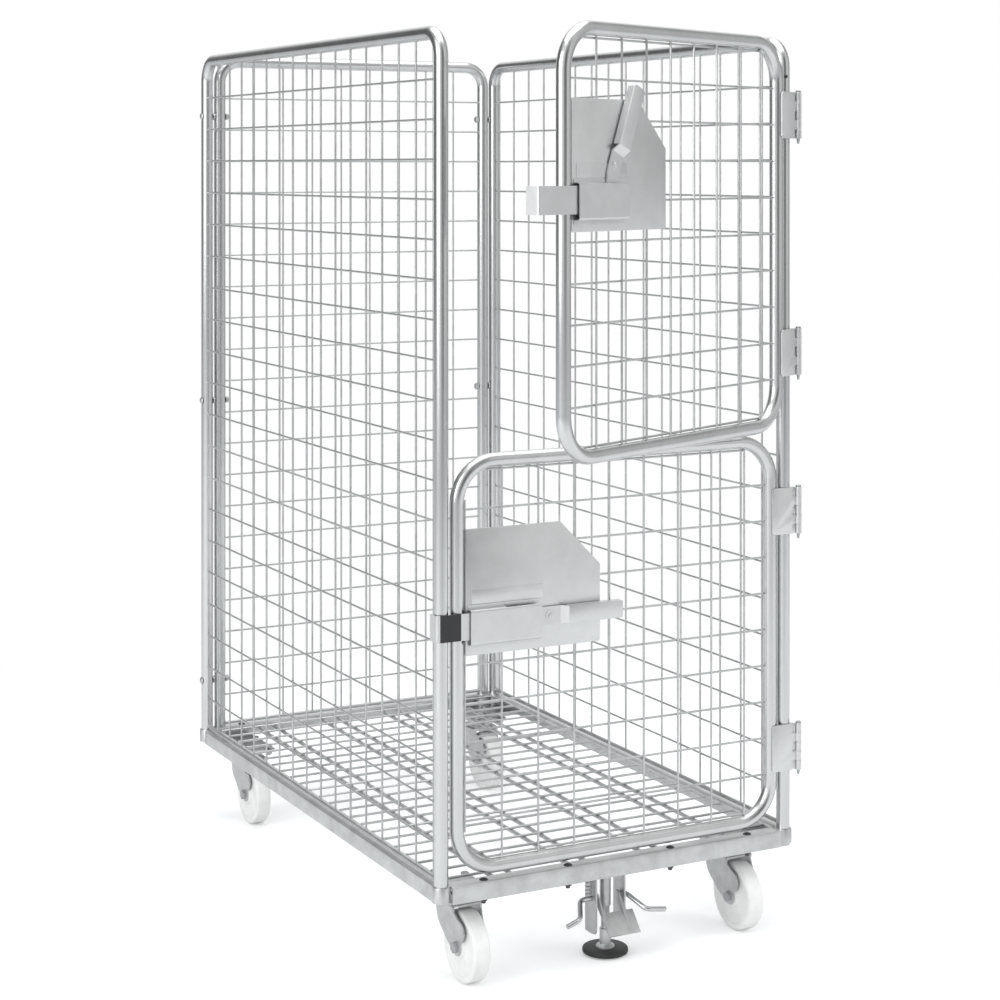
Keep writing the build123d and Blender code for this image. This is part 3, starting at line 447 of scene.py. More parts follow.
row_heights = [first_row + row * row_pitch for row in range(row_count)]
start_y, end_y = base_y - leg_y + tube - tuck, base_y + leg_y - tube + tuck
for hand, side_name in ((-1, "left"), (1, "right")):
    x = base_x + hand * leg_x
    panel_tube(side_name + "_side_tube", (x, base_y - leg_y), (x, base_y + leg_y),
               side_name + "_side_frame")
    panel = bmesh.new()
    for z in row_heights:
        add_wire(panel, (x + hand * wire, start_y, z), (x + hand * wire, end_y, z), wire)
    add_wire(panel, (x, start_y, rod_z), (x, end_y, rod_z), foot_rod, 12)
    inside_x = x - hand * (wire - weld_sink)
    for step in range(upright_count):
        y = hand * (base_half_y - first_upright - step * upright_pitch)
        add_wire(panel, (inside_x, base_y + y, upright_foot),
                 (inside_x, base_y + y, under_bend(y, leg_y) + seat), wire)
    finished(side_name + "_side_wires", panel, wire_zinc, "cage",
             [side_name + "_side_mesh"])

y = base_y + leg_y
panel_tube("rear_tube", (base_x - rear_leg_x, y), (base_x + rear_leg_x, y), "rear_frame")
panel = bmesh.new()
start_x, end_x = base_x - rear_leg_x + tube - tuck, base_x + rear_leg_x - tube + tuck
for z in row_heights:
    add_wire(panel, (start_x, y + wire, z), (end_x, y + wire, z), wire)
add_wire(panel, (start_x, y, rod_z), (end_x, y, rod_z), foot_rod, 12)
inside_y = y - wire + weld_sink
for step in range(rear_upright_count):
    x = base_x + (step - (rear_upright_count - 1) / 2) * rear_upright_pitch
    add_wire(panel, (x, inside_y, upright_foot), (x, inside_y, rail_z - tube + seat), wire)
finished("rear_wires", panel, wire_zinc, "cage", ["rear_mesh"])

# Panel bolts: three through each pair of rear legs, a low round head outside, a spacer
# between the tubes and a nut inside.
bolt_shares = (0.072, 0.4878, 0.9098)
spacer_radius = 0.0074
spacer_length = 0.0041
off_tube = tube + 0.0002
spacer_profile = [(0.0, 0.0), (spacer_radius, 0.0), (spacer_radius, spacer_length),
                  (0.0, spacer_length)]
ties = []
for hand in (-1, 1):
    for share in bolt_shares:
        z = deck_height + cage_height * share
        outward, inward = (0, 0, hand), (0, 0, -hand)
        ties.append(round_head(axes(at(hand * (leg_x + off_tube), leg_y, z), (0, 1, 0), outward)))
        ties.append(turned(spacer_profile, axes(at(hand * (leg_x - off_tube), leg_y, z),
                                                (0, 1, 0), inward), 20))
        ties.append(hex_nut(axes(at(hand * (rear_leg_x - off_tube), leg_y, z),
                                 (0, 1, 0), inward)))
finished("tie_bolts", joined(*ties), wire_zinc, "cage", ["panel_tie_bolts"])

# The drain hole near the head of the right front post is closed by a small plug, moulded
# in black plastic and pushed in.
black_plastic = zinc_finish("black_plastic", (0.02, 0.02, 0.02), 0.42, metal=0.0, mottle=0.6,
                            scale=120.0)
plug_spot = (0.3518, -leg_y - tube + 0.0003, 1.586)
plug = turned([(0.0, -0.002), (0.0034, -0.002), (0.0034, 0.0014), (0.0026, 0.0024),
               (0.0, 0.0027)], axes(at(*plug_spot), (1, 0, 0), up), 20)
finished("drain_plug", plug, black_plastic, "cage")

# Castors: a plate bolted under each corner carries a ball race, on which a bell-shaped
# fork of pressed steel turns. All four forks trail towards the front.
bolt_zinc = zinc_finish("bolt_zinc", (0.42, 0.43, 0.44), 0.34, mottle=0.5, scale=90.0)
swivel_x = 0.283
swivel_y = 0.513
swivels = {"front_left": (-1, -1), "front_right": (1, -1), "rear_left": (-1, 1),
           "rear_right": (1, 1)}
trail = 0.028
axle_z = 0.0625
crown_z = 0.135
fork_inner = 0.0185
fork_outer = 0.0215
crown_front = -0.030
crown_back = 0.048
crown_wall = 0.003
bell_foot = 0.078
bell_depth = 0.0115
bell_half_length = 0.052
bell_curve = 0.8
axle_eye = 0.015
race = 0.0280
castor_plate = 0.004
castor_plate_x = 0.043
castor_plate_y = 0.052
castor_plate_corner = 0.010
stud_x = 0.030
stud_y = 0.040
flat_nut_height = 0.0036
plate_z = skirt_foot - castor_plate
corner_x = castor_plate_x - castor_plate_corner
corner_y = castor_plate_y - castor_plate_corner
plate_outline = [point for x, y, turn in ((corner_x, corner_y, 0), (-corner_x, corner_y, 90),
                                          (-corner_x, -corner_y, 180), (corner_x, -corner_y, 270))
                 for point in arc(x, y, castor_plate_corner, turn, turn + 90, 5)]
race_profile = [(0.0073, 0.1400), (0.0262, 0.1400), (0.0276, 0.1408), (race, 0.1425),
                (race, 0.1465), (0.0262, 0.1500), (0.0245, 0.1518), (0.0252, plate_z),
                (0.0073, plate_z)]
mounts = []
studs = []
for hand, end in swivels.values():
    x, y = hand * swivel_x, end * swivel_y
    mounts.append(pressed(plate_outline, castor_plate, moved(x, y, plate_z), round_all=0.0008))
    mounts.append(turned(race_profile, moved(x, y, 0.0), 40))
    for dx in (-stud_x, stud_x):
        for dy in (-stud_y, stud_y):
            studs.append(hex_nut(under(x + dx, y + dy, plate_z)))
            studs.append(shank_end(moved(x + dx, y + dy, plate_z), 0.0040, 0.0034, 0.0095))
            studs.append(hex_nut(moved(x + dx, y + dy, skirt_foot + castor_plate),
                                 height=flat_nut_height))
finished("castor_mounts", joined(*mounts), pressing_zinc, "cage",
         ["caster_plates"])
finished("castor_studs", joined(*studs), bolt_zinc, "cage", ["caster_bolts"])
dress(bolt_zinc, "kingpins")


def bell(along, height):
    """How far a fork's cheek swells out beside the swivel, which grows towards the crown."""
    rise = max(0.0, min(1.0, (height - bell_foot) / (crown_z - bell_foot)))
    return bell_depth * rise ** bell_curve * max(0.0, 1.0 - (along / bell_half_length) ** 2)


cheek_outline = [(crown_back, crown_z - 0.001), (0.050, 0.122), (0.049, 0.112), (0.046, 0.102),
                 (0.040, 0.092), (0.031, 0.082), (0.018, 0.071), (0.001, 0.0605)]
cheek_outline += arc(-trail, axle_z, axle_eye, -48.0, -200.0, 15)
cheek_outline += [(-0.044, 0.074), (-0.050, 0.080), (-0.0545, 0.086), (-0.0560, 0.093),
                  (-0.0540, 0.100), (-0.0480, 0.108), (-0.0380, 0.115), (crown_front, 0.124),
                  (crown_front, crown_z - 0.001)]
upright_cuts = [(k * 0.007, 0.0, 0.0) for k in range(-8, 7)]
level_cuts = [(0.0, 0.080 + k * 0.009, 0.0) for k in range(6)]


def fork_cheek(hand, x, y):
    """One cheek of a fork, cut to its leaf shape, swollen, and as thick as the sheet."""
    mesh = pressed(cheek_outline, fork_outer - fork_inner, Matrix.Identity(4))
    for cuts, normal in ((upright_cuts, (1.0, 0.0, 0.0)), (level_cuts, (0.0, 1.0, 0.0))):
        for cut in cuts:
            bmesh.ops.bisect_plane(mesh, geom=mesh.verts[:] + mesh.edges[:] + mesh.faces[:],
                                   plane_co=cut, plane_no=normal)
    for vert in mesh.verts:
        vert.co.z += bell(vert.co.x, vert.co.y)
    place = axes(at(x + hand * fork_inner, y, 0.0), (0, 1, 0), up)
    if hand < 0:
        place = place @ Matrix.Scale(-1.0, 4, (0.0, 0.0, 1.0))
    bmesh.ops.transform(mesh, matrix=place, verts=mesh.verts)
    return mesh


def fork_crown(x, y):
    """The top of a fork, as wide as its cheeks, with a rolled edge and the lower race on it."""
    sides = [crown_back + (crown_front - crown_back) * k / 13 for k in range(14)]
    outline = [(fork_outer + bell(along, crown_z), along) for along in sides]
    outline += [(-fork_outer - bell(along, crown_z), along) for along in reversed(sides)]
    top = pressed(outline, crown_wall, moved(x, y, crown_z - crown_wall), round_top=0.0018)
    lower_race = turned([(0.0071, crown_z), (race, crown_z), (race, crown_z + 0.0034),
                         (0.0268, crown_z + 0.0047), (0.0071, crown_z + 0.0047)],
                        moved(x, y, 0.0), 40)
    return joined(top, lower_race)


# Castor wheels are moulded in white nylon with a recessed web on both sides. Each turns on
# a zinc-plated bolt that holds it between the cheeks of its fork.
nylon = zinc_finish("white_nylon", (0.88, 0.88, 0.87), 0.40, metal=0.0, mottle=0.25,
                    scale=40.0, bump=0.03)
nylon_shader = nylon.node_tree.nodes["Principled BSDF"]
nylon_shader.inputs["Subsurface Weight"].default_value = 0.12
nylon_shader.inputs["Subsurface Radius"].default_value = (0.004, 0.004, 0.004)
wheel_radius = axle_z
wheel_half = 0.0160
tread_round = 0.005
web_half = 0.0130
axle_bolt = 0.006
axle_nut = 0.010
axle_nut_height = 0.007
wheel_side = arc(wheel_radius - tread_round, wheel_half - tread_round, tread_round, 0.0, 90.0, 5)
wheel_side += [(0.0535, wheel_half), (0.0518, 0.0157), (0.0506, 0.0137), (0.0490, web_half),
               (0.0225, web_half), (0.0208, 0.0135), (0.0196, 0.0162), (0.0186, 0.0182),
               (0.0085, 0.0182), (0.0062, 0.0172)]
wheel_profile = wheel_side + [(radius, -out) for radius, out in reversed(wheel_side)]
axle_profile = [(0.0, -fork_outer), (axle_bolt, -fork_outer), (axle_bolt, fork_outer),
                (0.0, fork_outer)]
for corner, (hand, end) in swivels.items():
    x, y = hand * swivel_x, end * swivel_y
    fork = joined(fork_cheek(-1, x, y), fork_cheek(1, x, y), fork_crown(x, y))
    finished(corner + "_pressed_fork", fork, pressing_zinc, corner + "_swivel_fork",
             [corner + "_fork"])
    across = axes(at(x, y - trail, axle_z), (0, 1, 0), up)
    left = axes(at(x - fork_outer, y - trail, axle_z), (0, 1, 0), (0, 0, -1))
    right = axes(at(x + fork_outer, y - trail, axle_z), (0, 1, 0), up)
    bolt = joined(turned(axle_profile, across, 24), hex_nut(left, axle_nut, axle_nut_height),
                  hex_nut(right, axle_nut, axle_nut_height))
    finished(corner + "_axle_bolt", bolt, bolt_zinc, corner + "_swivel_fork",
             [corner + "_axle"])
    finished(corner + "_nylon_wheel", turned(wheel_profile, across, 64), nylon,
             corner + "_rolling_wheel", [corner + "_wheel"])

# Doors: two equal closed rings of the same tube with welded mesh, hung at the right front
# post. The upper one stands 23.5 degrees open.
door_height = 0.727
door_width = 0.6492
door_bend = 0.072
door_gap = 0.007
hinge_reach = 0.7026
hinge_out = 0.015
hinge_spot = (0.378, -0.599)
lower_foot = deck_height + 0.009
door_feet = {"lower": lower_foot, "upper": lower_foot + door_height + door_gap}
door_turns = {"lower": 0.0, "upper": radians(23.5)}
door_row_count = 11
first_door_row = 0.0285
door_row_pitch = 0.067
door_upright_count = 9
first_door_upright = 0.0148
door_upright_pitch = 0.072


def door_place(door):
    """From a door's own axes (along, up, out from its latch stile's foot) to the frame."""
    turn = door_turns[door]
    along = Vector((cos(turn), sin(turn), 0.0))
    out = Vector((sin(turn), -cos(turn), 0.0))
    origin = at(*hinge_spot, door_feet[door]) - along * hinge_reach - out * hinge_out
    return axes(origin, along, up)


def ring_start(distance):
    """Where a wire meets the inside of a door's ring, from the middle of the nearest tube."""
    out = door_bend - distance + wire
    if out <= 0:
        return tube
    return door_bend - sqrt((door_bend - tube) ** 2 - out ** 2)


for door in ("lower", "upper"):
    ring = bmesh.new()
    bent_tube(ring, [(0, tube, 0), (door_width, tube, 0), (door_width, door_height - tube, 0),
                     (0, door_height - tube, 0)], door_bend, tube, closed=True)
    bmesh.ops.transform(ring, matrix=door_place(door), verts=ring.verts)
    finished(door + "_door_tube", ring, tube_zinc, door + "_door",
             [door + "_door_frame"])
    panel = bmesh.new()
    for row in range(door_row_count):
        v = first_door_row + row * door_row_pitch
        start = ring_start(min(v, door_height - v) - tube) - seat
        add_wire(panel, (start, v, -wire), (door_width - start, v, -wire), wire)
    for step in range(door_upright_count):
        w = first_door_upright + step * door_upright_pitch
        start = ring_start(min(w, door_width - w)) + tube - seat
        add_wire(panel, (w, start, wire - weld_sink), (w, door_height - start, wire - weld_sink),
                 wire)
    bmesh.ops.transform(panel, matrix=door_place(door), verts=panel.verts)
    finished(door + "_door_wires", panel, wire_zinc, door + "_door",
             [door + "_door_mesh"])

# Hinges: a wide leaf welded to each door's stile and a narrow one to the post, their five
# curled knuckles on a loose pin with a pointed tail.
sheet_zinc = zinc_finish("sheet_zinc", (0.68, 0.69, 0.69), 0.34, mottle=0.22, scale=28.0,
                         bump=0.06)
hinge_height = 0.086
hinge_inset = 0.144
knuckle = 0.0169
knuckle_step = 0.01728
knuckle_out = 0.0060
knuckle_edge = 0.0004
pin_bore = 0.0036
tab_end = 0.0040
leaf_edge_round = 0.0005
door_leaf = {"far_end": 0.0584, "edge": 0.0130, "inside": -0.0008, "wall": 0.003,
             "corner": 0.004, "steps": (1, 3)}
post_leaf = {"far_end": 0.0154, "edge": 0.0078, "inside": -0.00125, "wall": 0.0025,
             "corner": 0.0005, "steps": (0, 2, 4)}
towards_post = (-0.024, 0.015, 0.0)
knuckle_wall = [(pin_bore, 0.0), (knuckle_out - 0.0003, 0.0), (knuckle_out, knuckle_edge),
                (knuckle_out, knuckle - knuckle_edge), (knuckle_out - 0.0003, knuckle),
                (pin_bore, knuckle)]
pin_profile = [(0.0, -0.010), (0.0014, -0.0096), (0.0020, -0.0086), (0.0034, 0.0),
               (0.0035, hinge_height + 0.0003), (0.0050, hinge_height + 0.0003),
               (0.0050, hinge_height + 0.0026), (0.0040, hinge_height + 0.0033),
               (0.0, hinge_height + 0.0033)]


def hinge_leaf(place, far_end, edge, inside, wall, corner, steps):
    """A leaf that runs from its pin along the drawing's X, with a tab and knuckle at each step."""
    outline = [(far_end - corner, 0.0), (far_end, corner), (far_end, hinge_height - corner),
               (far_end - corner, hinge_height)]
    outline += [(edge, hinge_height)] if 4 not in steps else []
    for step in reversed(steps):
        foot = step * knuckle_step
        top = foot + knuckle
        outline += [(edge, top)] if step < 4 else []
        outline += [(tab_end, top), (tab_end, foot)]
        outline += [(edge, foot)] if step else []
    outline += [(edge, 0.0)] if 0 not in steps else []
    whole = [pressed(outline, wall, place @ Matrix.Translation((0.0, 0.0, inside)),
                     round_all=leaf_edge_round)]
    for step in steps:
        barrel = turned(knuckle_wall, Matrix.Translation((0.0, 0.0, step * knuckle_step)), 28)
        bmesh.ops.transform(barrel, matrix=place @ Matrix.Rotation(radians(-90), 4, "X"),
                            verts=barrel.verts)
        whole.append(barrel)
    return joined(*whole)


post_leaves = []
pins = []
for door in ("lower", "upper"):
    along = door_place(door).to_3x3() @ Vector((1.0, 0.0, 0.0))
    door_leaves = []
    for middle in (hinge_inset, door_height - hinge_inset):
        spot = at(*hinge_spot, door_feet[door] + middle - hinge_height / 2)
        door_leaves.append(hinge_leaf(axes(spot, -along, up), **door_leaf))
        post_leaves.append(hinge_leaf(axes(spot, towards_post, up), **post_leaf))
        pins.append(turned(pin_profile, Matrix.Translation(spot), 24))
    finished(door + "_door_leaves", joined(*door_leaves), sheet_zinc, door + "_door",
             [door + "_hinge_leaves"])
finished("post_leaves", joined(*post_leaves), sheet_zinc, "cage",
         ["post_hinge_leaves"])
finished("loose_pins", joined(*pins), bolt_zinc, "cage", ["hinge_pins"])

# Latches: a cut-cornered steel plate on each door with an embossed bare field, a pressed
# guide, a sliding strap and a lever, folded to a channel behind its handle, which turns on
# a stud and draws the strap. The lower strap carries a band of painted shade and dark
# reflection where it passes the posts.
plate_back = 0.0044
plate_front = 0.0064
plate_left = 0.014
plate_right = 0.281
plate_foot = 0.381
plate_top = 0.599
plate_corner = 0.003
plate_cut = 0.081
field_left = 0.025
field_right = 0.165
field_foot = 0.469
field_top = 0.493
field_height = 0.0012
lever_back = 0.0084
pivot = (0.112, 0.425)
rivet_spot = (0.066, 0.012)
lever_turns = {"lower": 0.0, "upper": radians(66.4)}
lever_foot = -0.0035
lever_top = 0.0275
lever_end = 0.2075
hub = 0.011
stud_hole = 0.00505
neck = 0.0475
blade_wall = 0.003
bend_start = 0.086
bend_end = 0.098
handle_depth = 0.0115
handle_wall = 0.0025
handle_corner = 0.004
handle_front = handle_depth + handle_wall
# The near-black colour, and the place and width, of the painted shade and dark reflection on the
# lower strap.
painted_shade_tone = (0.060, 0.060, 0.062, 1.0)
painted_shade_middle = base_x - 0.3435
painted_shade_half_width = 0.020
strap_shade_zinc = zinc_finish("strap_shade_zinc", (0.68, 0.69, 0.69), 0.34, mottle=0.22, scale=28.0,
                          bump=0.06)
# This strap material paints that dark band of shade across the posts over its grain.
tree = strap_shade_zinc.node_tree
here = add_node(tree, "TexCoord")
split = add_node(tree, "SeparateXYZ")
tree.links.new(here.outputs["Object"], split.inputs["Vector"])
painted_shade_band = add_node(tree, "Math", {1: painted_shade_middle, 2: painted_shade_half_width})
painted_shade_band.operation = "COMPARE"
tree.links.new(split.outputs["X"], painted_shade_band.inputs[0])
darker = add_node(tree, "MixRGB", {"Color2": painted_shade_tone})
tree.links.new(painted_shade_band.outputs[0], darker.inputs["Fac"])
tree.links.new(tree.nodes["Color Ramp"].outputs["Color"], darker.inputs["Color1"])
tree.links.new(darker.outputs["Color"], tree.nodes["Principled BSDF"].inputs["Base Color"])
plate_outline = [(plate_left + plate_corner, plate_foot), (plate_right - plate_corner, plate_foot),
                 (plate_right, plate_foot + plate_corner), (plate_right, plate_top - plate_cut),
                 (plate_right - plate_cut, plate_top), (plate_left + plate_corner, plate_top),
                 (plate_left, plate_top - plate_corner), (plate_left, plate_foot + plate_corner)]
field_outline = [(field_left, field_foot), (field_right, field_foot), (field_right, field_top),
                 (field_left, field_top)]
stud_profile = [(0.0, 0.0), (0.009, 0.0), (0.009, 0.0012), (0.0084, 0.0017), (0.0050, 0.0017),
                (0.0050, 0.0046), (0.0044, 0.0053), (0.0, 0.0053)]
rivet_profile = [(0.0, 0.0), (0.0095, 0.0), (0.0095, 0.0008), (0.0088, 0.0014),
                 (0.0056, 0.0014), (0.0050, 0.0026), (0.0040, 0.0031), (0.0018, 0.0031),
                 (0.0012, 0.0022), (0.0, 0.0022)]
blade_outline = arc(0.0, 0.0, hub, 90.0, 270.0, 14)
blade_outline += [(neck, lever_foot), (bend_start, lever_foot), (bend_start, lever_top),
                  (neck, lever_top)]
shoulder_outline = [(bend_start, 0.0), (bend_start + 0.0012, 0.0),
                    (bend_end, handle_front - blade_wall), (bend_end, handle_front),
                    (bend_start, blade_wall)]
round_x = lever_end - handle_corner
handle_outline = [(bend_end, lever_foot)]
handle_outline += arc(round_x, lever_foot + handle_corner, handle_corner, -90.0, 0.0, 5)
handle_outline += arc(round_x, lever_top - handle_corner, handle_corner, 0.0, 90.0, 5)
handle_outline += [(bend_end, lever_top)]
inside_outline = [(bend_end + handle_wall, lever_foot + handle_wall),
                  (lever_end - handle_wall, lever_foot + handle_wall),
                  (lever_end - handle_wall, lever_top - handle_wall),
                  (bend_end + handle_wall, lever_top - handle_wall)]
for door in ("lower", "upper"):
    place = door_place(door)
    front = place @ Matrix.Translation((0.0, 0.0, plate_front))
    sheet = pressed(plate_outline, plate_front - plate_back,
                    place @ Matrix.Translation((0.0, 0.0, plate_back)), round_top=0.0006)
    field = pressed(field_outline, field_height, front, round_top=0.0010)
    stud = turned(stud_profile, front @ Matrix.Translation((*pivot, 0.0)), 28)
    finished(door + "_cut_plate", joined(sheet, field, stud), sheet_zinc, door + "_door",
             [door + "_latch_plate"])
    dress(sheet_zinc, door + "_latch_guide")
    # The lower strap gets the material with the painted shade band.
    dress(strap_shade_zinc if door == "lower" else sheet_zinc, door + "_latch_strap")
    grip = place @ Matrix.Translation((*pivot, lever_back))
    grip = grip @ Matrix.Rotation(lever_turns[door], 4, "Z")
    blade = pressed(blade_outline, blade_wall, grip, holes=[ring_of(0.0, 0.0, stud_hole)])
    shoulder = pressed(shoulder_outline, lever_top - lever_foot,
                       grip @ axes((0.0, lever_top, 0.0), (1, 0, 0), up))
    walls = pressed(handle_outline, handle_depth, grip, holes=[inside_outline])
    face = pressed(handle_outline, handle_wall,
                   grip @ Matrix.Translation((0.0, 0.0, handle_depth)), round_top=0.0012)
    rivet = turned(rivet_profile, grip @ Matrix.Translation((*rivet_spot, blade_wall)), 28)
    finished(door + "_channel_lever", joined(blade, shoulder, walls, face, rivet), sheet_zinc,
             door + "_lever", [door + "_latch_lever"])

# Floor lock: a folded bracket under the front flange guides a sprung plunger with a rubber
# foot. A pedal with two bent foot rods turns in the bracket's cheeks and works it.
lock_y = -0.534
lever_y = lock_y - 0.006
lever_z = 0.104
bracket_plate = 0.004
foot_seat = 0.0106
bracket_half = 0.125
bracket_front = -0.0627
bracket_back = 0.030
bracket_chamfer = 0.006
bracket_edge_round = 0.0006
stem_hole = 0.0085
cheek_wall = 0.003
cheek_inner = 0.028
cheek_foot = 0.040
cheek_round = 0.012
cheek_front = -0.020
cheek_back = 0.019
guide_bore = 0.00805
guide_out = 0.0100
guide_foot = 0.086
stem_radius = 0.0078
stem_top = 0.1500
shaft_radius = 0.0104
foot_radius = 0.0415
rod_radius = 0.0045
rod_hole = rod_radius + 0.0002
rod_out_y = -0.584
rod_end_z = 0.078
rod_start_x = 0.0231
spring_wire = 0.0009
spring_radius = 0.0051
spring_turns = 7
spring_steps = spring_turns * 16
spring_foot = 0.110
spring_rise = skirt_foot - spring_foot - 0.001
spring_x = -0.038
bracket_edge = bracket_back - bracket_chamfer
chamfer_x = bracket_half - bracket_chamfer
bracket_outline = [(-bracket_half, bracket_front), (bracket_half, bracket_front),
                   (bracket_half, bracket_edge), (chamfer_x, bracket_back),
                   (-chamfer_x, bracket_back), (-bracket_half, bracket_edge)]
bracket_cheek = [(cheek_back, cheek_foot), (cheek_back, skirt_foot), (cheek_front, skirt_foot)]
bracket_cheek += arc(cheek_front + cheek_round, cheek_foot + cheek_round, cheek_round,
                     180.0, 270.0, 8)
folded = [pressed(bracket_outline, bracket_plate, moved(0.0, lock_y, skirt_foot),
                  holes=[ring_of(0.0, 0.0, stem_hole)], round_all=bracket_edge_round)]
for left_face in (-cheek_inner - cheek_wall, cheek_inner):
    place = axes(at(left_face, lock_y, 0.0), (0, 1, 0), up)
    folded.append(pressed(bracket_cheek, cheek_wall, place,
                          holes=[ring_of(lever_y - lock_y, lever_z, rod_hole)]))
folded.append(turned([(guide_bore, guide_foot), (guide_out - 0.0006, guide_foot),
                      (guide_out, guide_foot + 0.0006), (guide_out, skirt_foot),
                      (guide_bore, skirt_foot)], moved(0.0, lock_y, 0.0), 28))
finished("lock_housing", joined(*folded), pressing_zinc, "cage",
         ["lock_bracket"])
stem = turned([(0.0, foot_seat), (0.0170, foot_seat), (0.0170, 0.0128), (0.0150, 0.0152),
               (0.0120, 0.0166), (shaft_radius, 0.0166), (shaft_radius, 0.0440),
               (0.0094, 0.0450), (stem_radius, 0.0450), (stem_radius, stem_top - 0.001),
               (stem_radius - 0.001, stem_top), (0.0, stem_top)], moved(0.0, lock_y, 0.0))
finished("lock_stem_rod", stem, sheet_zinc, "lock_stem", ["lock_plunger"])
rubber = zinc_finish("black_rubber", (0.030, 0.030, 0.030), 0.50, metal=0.0, mottle=0.8,
                     scale=70.0, bump=0.25)
sole = turned([(0.0, 0.0020), (0.0395, 0.0020), (0.0410, 0.0028), (foot_radius, 0.0042),
               (foot_radius, 0.0080), (0.0408, 0.0096), (0.0392, foot_seat), (0.0, foot_seat)],
              moved(0.0, lock_y, 0.0), 48)
finished("rubber_sole", sole, rubber, "lock_stem", ["lock_foot"])
dress(pressing_zinc, "lock_pedal")
rods = bmesh.new()
bent_tube(rods, [at(-rod_start_x, lever_y, lever_z), at(-0.056, lever_y, lever_z),
                 at(-0.080, rod_out_y, 0.087), at(-0.107, rod_out_y, rod_end_z)],
          0.016, rod_radius, sides=16, steps=6)
bent_tube(rods, [at(rod_start_x, lever_y, lever_z), at(0.038, lever_y, lever_z),
                 at(0.056, rod_out_y, 0.084), at(0.096, rod_out_y, rod_end_z)],
          0.012, rod_radius, sides=16, steps=6)
finished("bent_foot_rods", rods, tube_zinc, "lock_lever", ["foot_rods"])
coil = bmesh.new()
section = Matrix.Translation((spring_radius, 0.0, 0.0)) @ Matrix.Rotation(radians(90), 4, "X")
start = bmesh.ops.create_circle(coil, cap_ends=False, segments=8, radius=spring_wire,
                                matrix=section)["verts"]
rim = list({edge for vert in start for edge in vert.link_edges})
bmesh.ops.spin(coil, geom=start + rim, cent=(0.0, 0.0, 0.0), axis=(0.0, 0.0, 1.0),
               dvec=(0.0, 0.0, spring_rise / spring_steps), angle=2 * pi * spring_turns,
               steps=spring_steps, use_merge=False, use_duplicate=False)
bmesh.ops.holes_fill(coil, edges=[edge for edge in coil.edges if edge.is_boundary], sides=0)
bmesh.ops.transform(coil, matrix=moved(spring_x, lever_y, spring_foot), verts=coil.verts)
finished("return_spring", coil, bolt_zinc, "cage", ["lock_spring"])

# Studio floor: pale paper that keeps the container's shadow and turns to plain white
# further out, for the camera only, so that no horizon shows.
floor_glow = 0.26
paper_near = 1.1
paper_far = 2.2
plain_white = (1.0, 1.0, 1.0, 1.0)
floor_mesh = bmesh.new()
bmesh.ops.create_grid(floor_mesh, x_segments=1, y_segments=1, size=14.0,
                      matrix=moved(0.0, 0.0, -0.0002))
floor_data = bpy.data.meshes.new("studio_floor")
floor_mesh.to_mesh(floor_data)
floor_mesh.free()
floor = bpy.data.objects.new("studio_floor", floor_data)
bpy.context.scene.collection.objects.link(floor)
paper = bpy.data.materials.new("studio_paper")
paper.use_nodes = True
tree = paper.node_tree
shader = tree.nodes["Principled BSDF"]
shader.inputs["Base Color"].default_value = (0.90, 0.90, 0.90, 1.0)
shader.inputs["Roughness"].default_value = 0.9
shader.inputs["Specular IOR Level"].default_value = 0.2
seen = add_node(tree, "LightPath")
glow = add_node(tree, "Emission", {"Color": plain_white})
share = add_node(tree, "Math", {1: floor_glow})
share.operation = "MULTIPLY"
tree.links.new(seen.outputs["Is Camera Ray"], share.inputs[0])
tree.links.new(share.outputs[0], glow.inputs["Strength"])
both = add_node(tree, "AddShader")
tree.links.new(shader.outputs["BSDF"], both.inputs[0])
tree.links.new(glow.outputs["Emission"], both.inputs[1])
here = add_node(tree, "TexCoord")
away = add_node(tree, "VectorMath", {1: (base_x, base_y, 0.0)})
away.operation = "DISTANCE"
tree.links.new(here.outputs["Object"], away.inputs[0])
fade = add_node(tree, "MapRange", {"From Min": paper_near, "From Max": paper_far})
tree.links.new(away.outputs["Value"], fade.inputs["Value"])
distant = add_node(tree, "Math")
distant.operation = "MULTIPLY"
tree.links.new(fade.outputs["Result"], distant.inputs[0])
tree.links.new(seen.outputs["Is Camera Ray"], distant.inputs[1])
backdrop = add_node(tree, "Emission", {"Color": plain_white})
blend = add_node(tree, "MixShader")
tree.links.new(distant.outputs[0], blend.inputs["Fac"])
tree.links.new(both.outputs["Shader"], blend.inputs[1])
tree.links.new(backdrop.outputs["Emission"], blend.inputs[2])
tree.links.new(blend.outputs["Shader"], tree.nodes["Material Output"].inputs["Surface"])
floor_data.materials.append(paper)

# Surround: white to the camera and soft grey to the container, whose bright zinc mirrors
# upright bands of light and dark round it under a pale ceiling.
heading = radians(27.61)
surround_strength = 0.62
ceiling_foot = 0.35
ceiling_top = 0.95
ceiling_level = 0.90
bands = [(0.0, 1.0), (0.06, 0.95), (0.12, 0.14), (0.24, 0.14), (0.31, 1.0), (0.47, 1.0),
         (0.55, 0.20), (0.61, 0.20), (0.66, 0.85), (0.80, 0.62), (0.88, 0.35), (0.95, 1.0)]
world = bpy.data.worlds.new("studio_surround")
world.use_nodes = True
bpy.context.scene.world = world
tree = world.node_tree
soft = tree.nodes["Background"]
soft.inputs["Color"].default_value = (0.96, 0.98, 1.0, 1.0)
soft.inputs["Strength"].default_value = surround_strength
white = add_node(tree, "Background", {"Color": plain_white})
mirrored = add_node(tree, "Background")
toward = add_node(tree, "TexCoord")
turned_round = add_node(tree, "Mapping", {"Rotation": (0.0, 0.0, pi / 2 + heading)})
tree.links.new(toward.outputs["Generated"], turned_round.inputs["Vector"])
compass = add_node(tree, "TexGradient")
compass.gradient_type = "RADIAL"
tree.links.new(turned_round.outputs["Vector"], compass.inputs["Vector"])
sides = add_node(tree, "ValToRGB")
for position, level in bands[1:-1]:
    sides.color_ramp.elements.new(position)
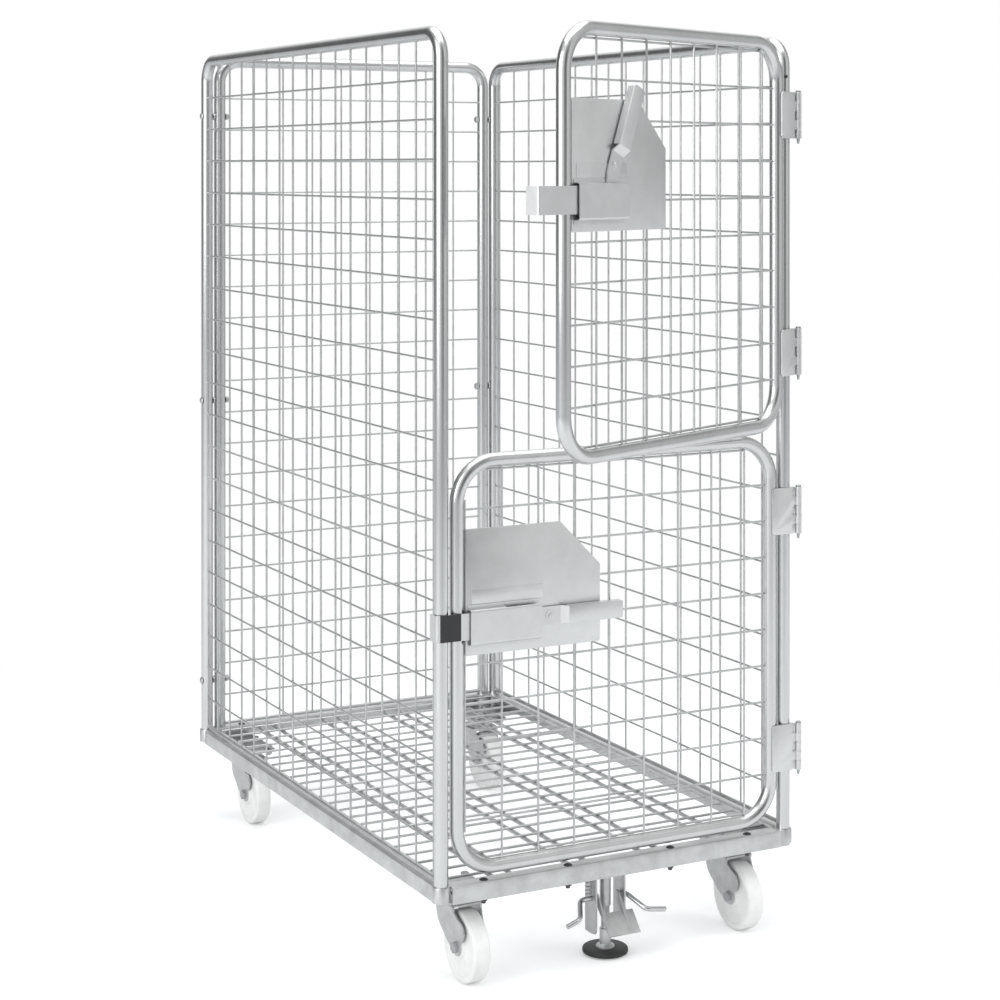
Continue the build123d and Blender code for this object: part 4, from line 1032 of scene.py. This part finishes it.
for element, (position, level) in zip(sides.color_ramp.elements, bands):
    element.position = position
    element.color = (level, level, level, 1.0)
tree.links.new(compass.outputs["Fac"], sides.inputs["Fac"])
height = add_node(tree, "SeparateXYZ")
tree.links.new(toward.outputs["Generated"], height.inputs["Vector"])
ceiling = add_node(tree, "MapRange", {"From Min": ceiling_foot, "From Max": ceiling_top,
                                      "To Max": ceiling_level})
tree.links.new(height.outputs["Z"], ceiling.inputs["Value"])
brighter = add_node(tree, "Math")
brighter.operation = "MAXIMUM"
tree.links.new(sides.outputs["Color"], brighter.inputs[0])
tree.links.new(ceiling.outputs["Result"], brighter.inputs[1])
tree.links.new(brighter.outputs[0], mirrored.inputs["Color"])
rays = add_node(tree, "LightPath")
glossy = add_node(tree, "Math")
glossy.operation = "MAXIMUM"
tree.links.new(rays.outputs["Is Glossy Ray"], glossy.inputs[0])
tree.links.new(rays.outputs["Is Transmission Ray"], glossy.inputs[1])
lit = add_node(tree, "MixShader")
tree.links.new(glossy.outputs[0], lit.inputs["Fac"])
tree.links.new(soft.outputs["Background"], lit.inputs[1])
tree.links.new(mirrored.outputs["Background"], lit.inputs[2])
mix = add_node(tree, "MixShader")
tree.links.new(rays.outputs["Is Camera Ray"], mix.inputs["Fac"])
tree.links.new(lit.outputs["Shader"], mix.inputs[1])
tree.links.new(white.outputs["Background"], mix.inputs[2])
tree.links.new(mix.outputs["Shader"], tree.nodes["World Output"].inputs["Surface"])

# Lamps: three large soft boxes at the left, the right and overhead. The right one isn't
# mirrored, so that it leaves no bright patch on the plates.
lamp_aim = at(0.0, 0.0, 0.8)


def soft_lamp(name, place, size, power, mirrored_too=True):
    """A large soft box that points at the container."""
    lamp = bpy.data.lights.new(name, "AREA")
    lamp.shape = "RECTANGLE"
    lamp.size, lamp.size_y = size
    lamp.energy = power
    holder = bpy.data.objects.new(name, lamp)
    holder.location = place
    holder.rotation_euler = (lamp_aim - place).to_track_quat("-Z", "Y").to_euler()
    holder.visible_glossy = mirrored_too
    bpy.context.scene.collection.objects.link(holder)


soft_lamp("left_box", at(-4.2, -1.6, 2.6), (2.6, 3.4), 95.0)
soft_lamp("right_box", at(3.4, -3.9, 2.4), (2.6, 3.0), 70.0, mirrored_too=False)
soft_lamp("top_box", at(0.0, -0.2, 4.6), (4.0, 4.0), 95.0)

# Camera: a long lens at the photograph's height and heading, kept level so that uprights
# stay parallel, with the picture shifted down to take in the whole container.
lens = bpy.data.cameras.new("camera")
lens.sensor_width = 36.0
lens.lens = 77.26
lens.shift_y = -0.332
lens.clip_end = 100.0
camera = bpy.data.objects.new("camera", lens)
camera.location = at(-1.9647, -3.8807, 1.4161)
camera.rotation_euler = (radians(90.0), 0.0, -heading)
bpy.context.scene.collection.objects.link(camera)
bpy.context.scene.camera = camera
bpy.context.scene.view_settings.view_transform = "Standard"
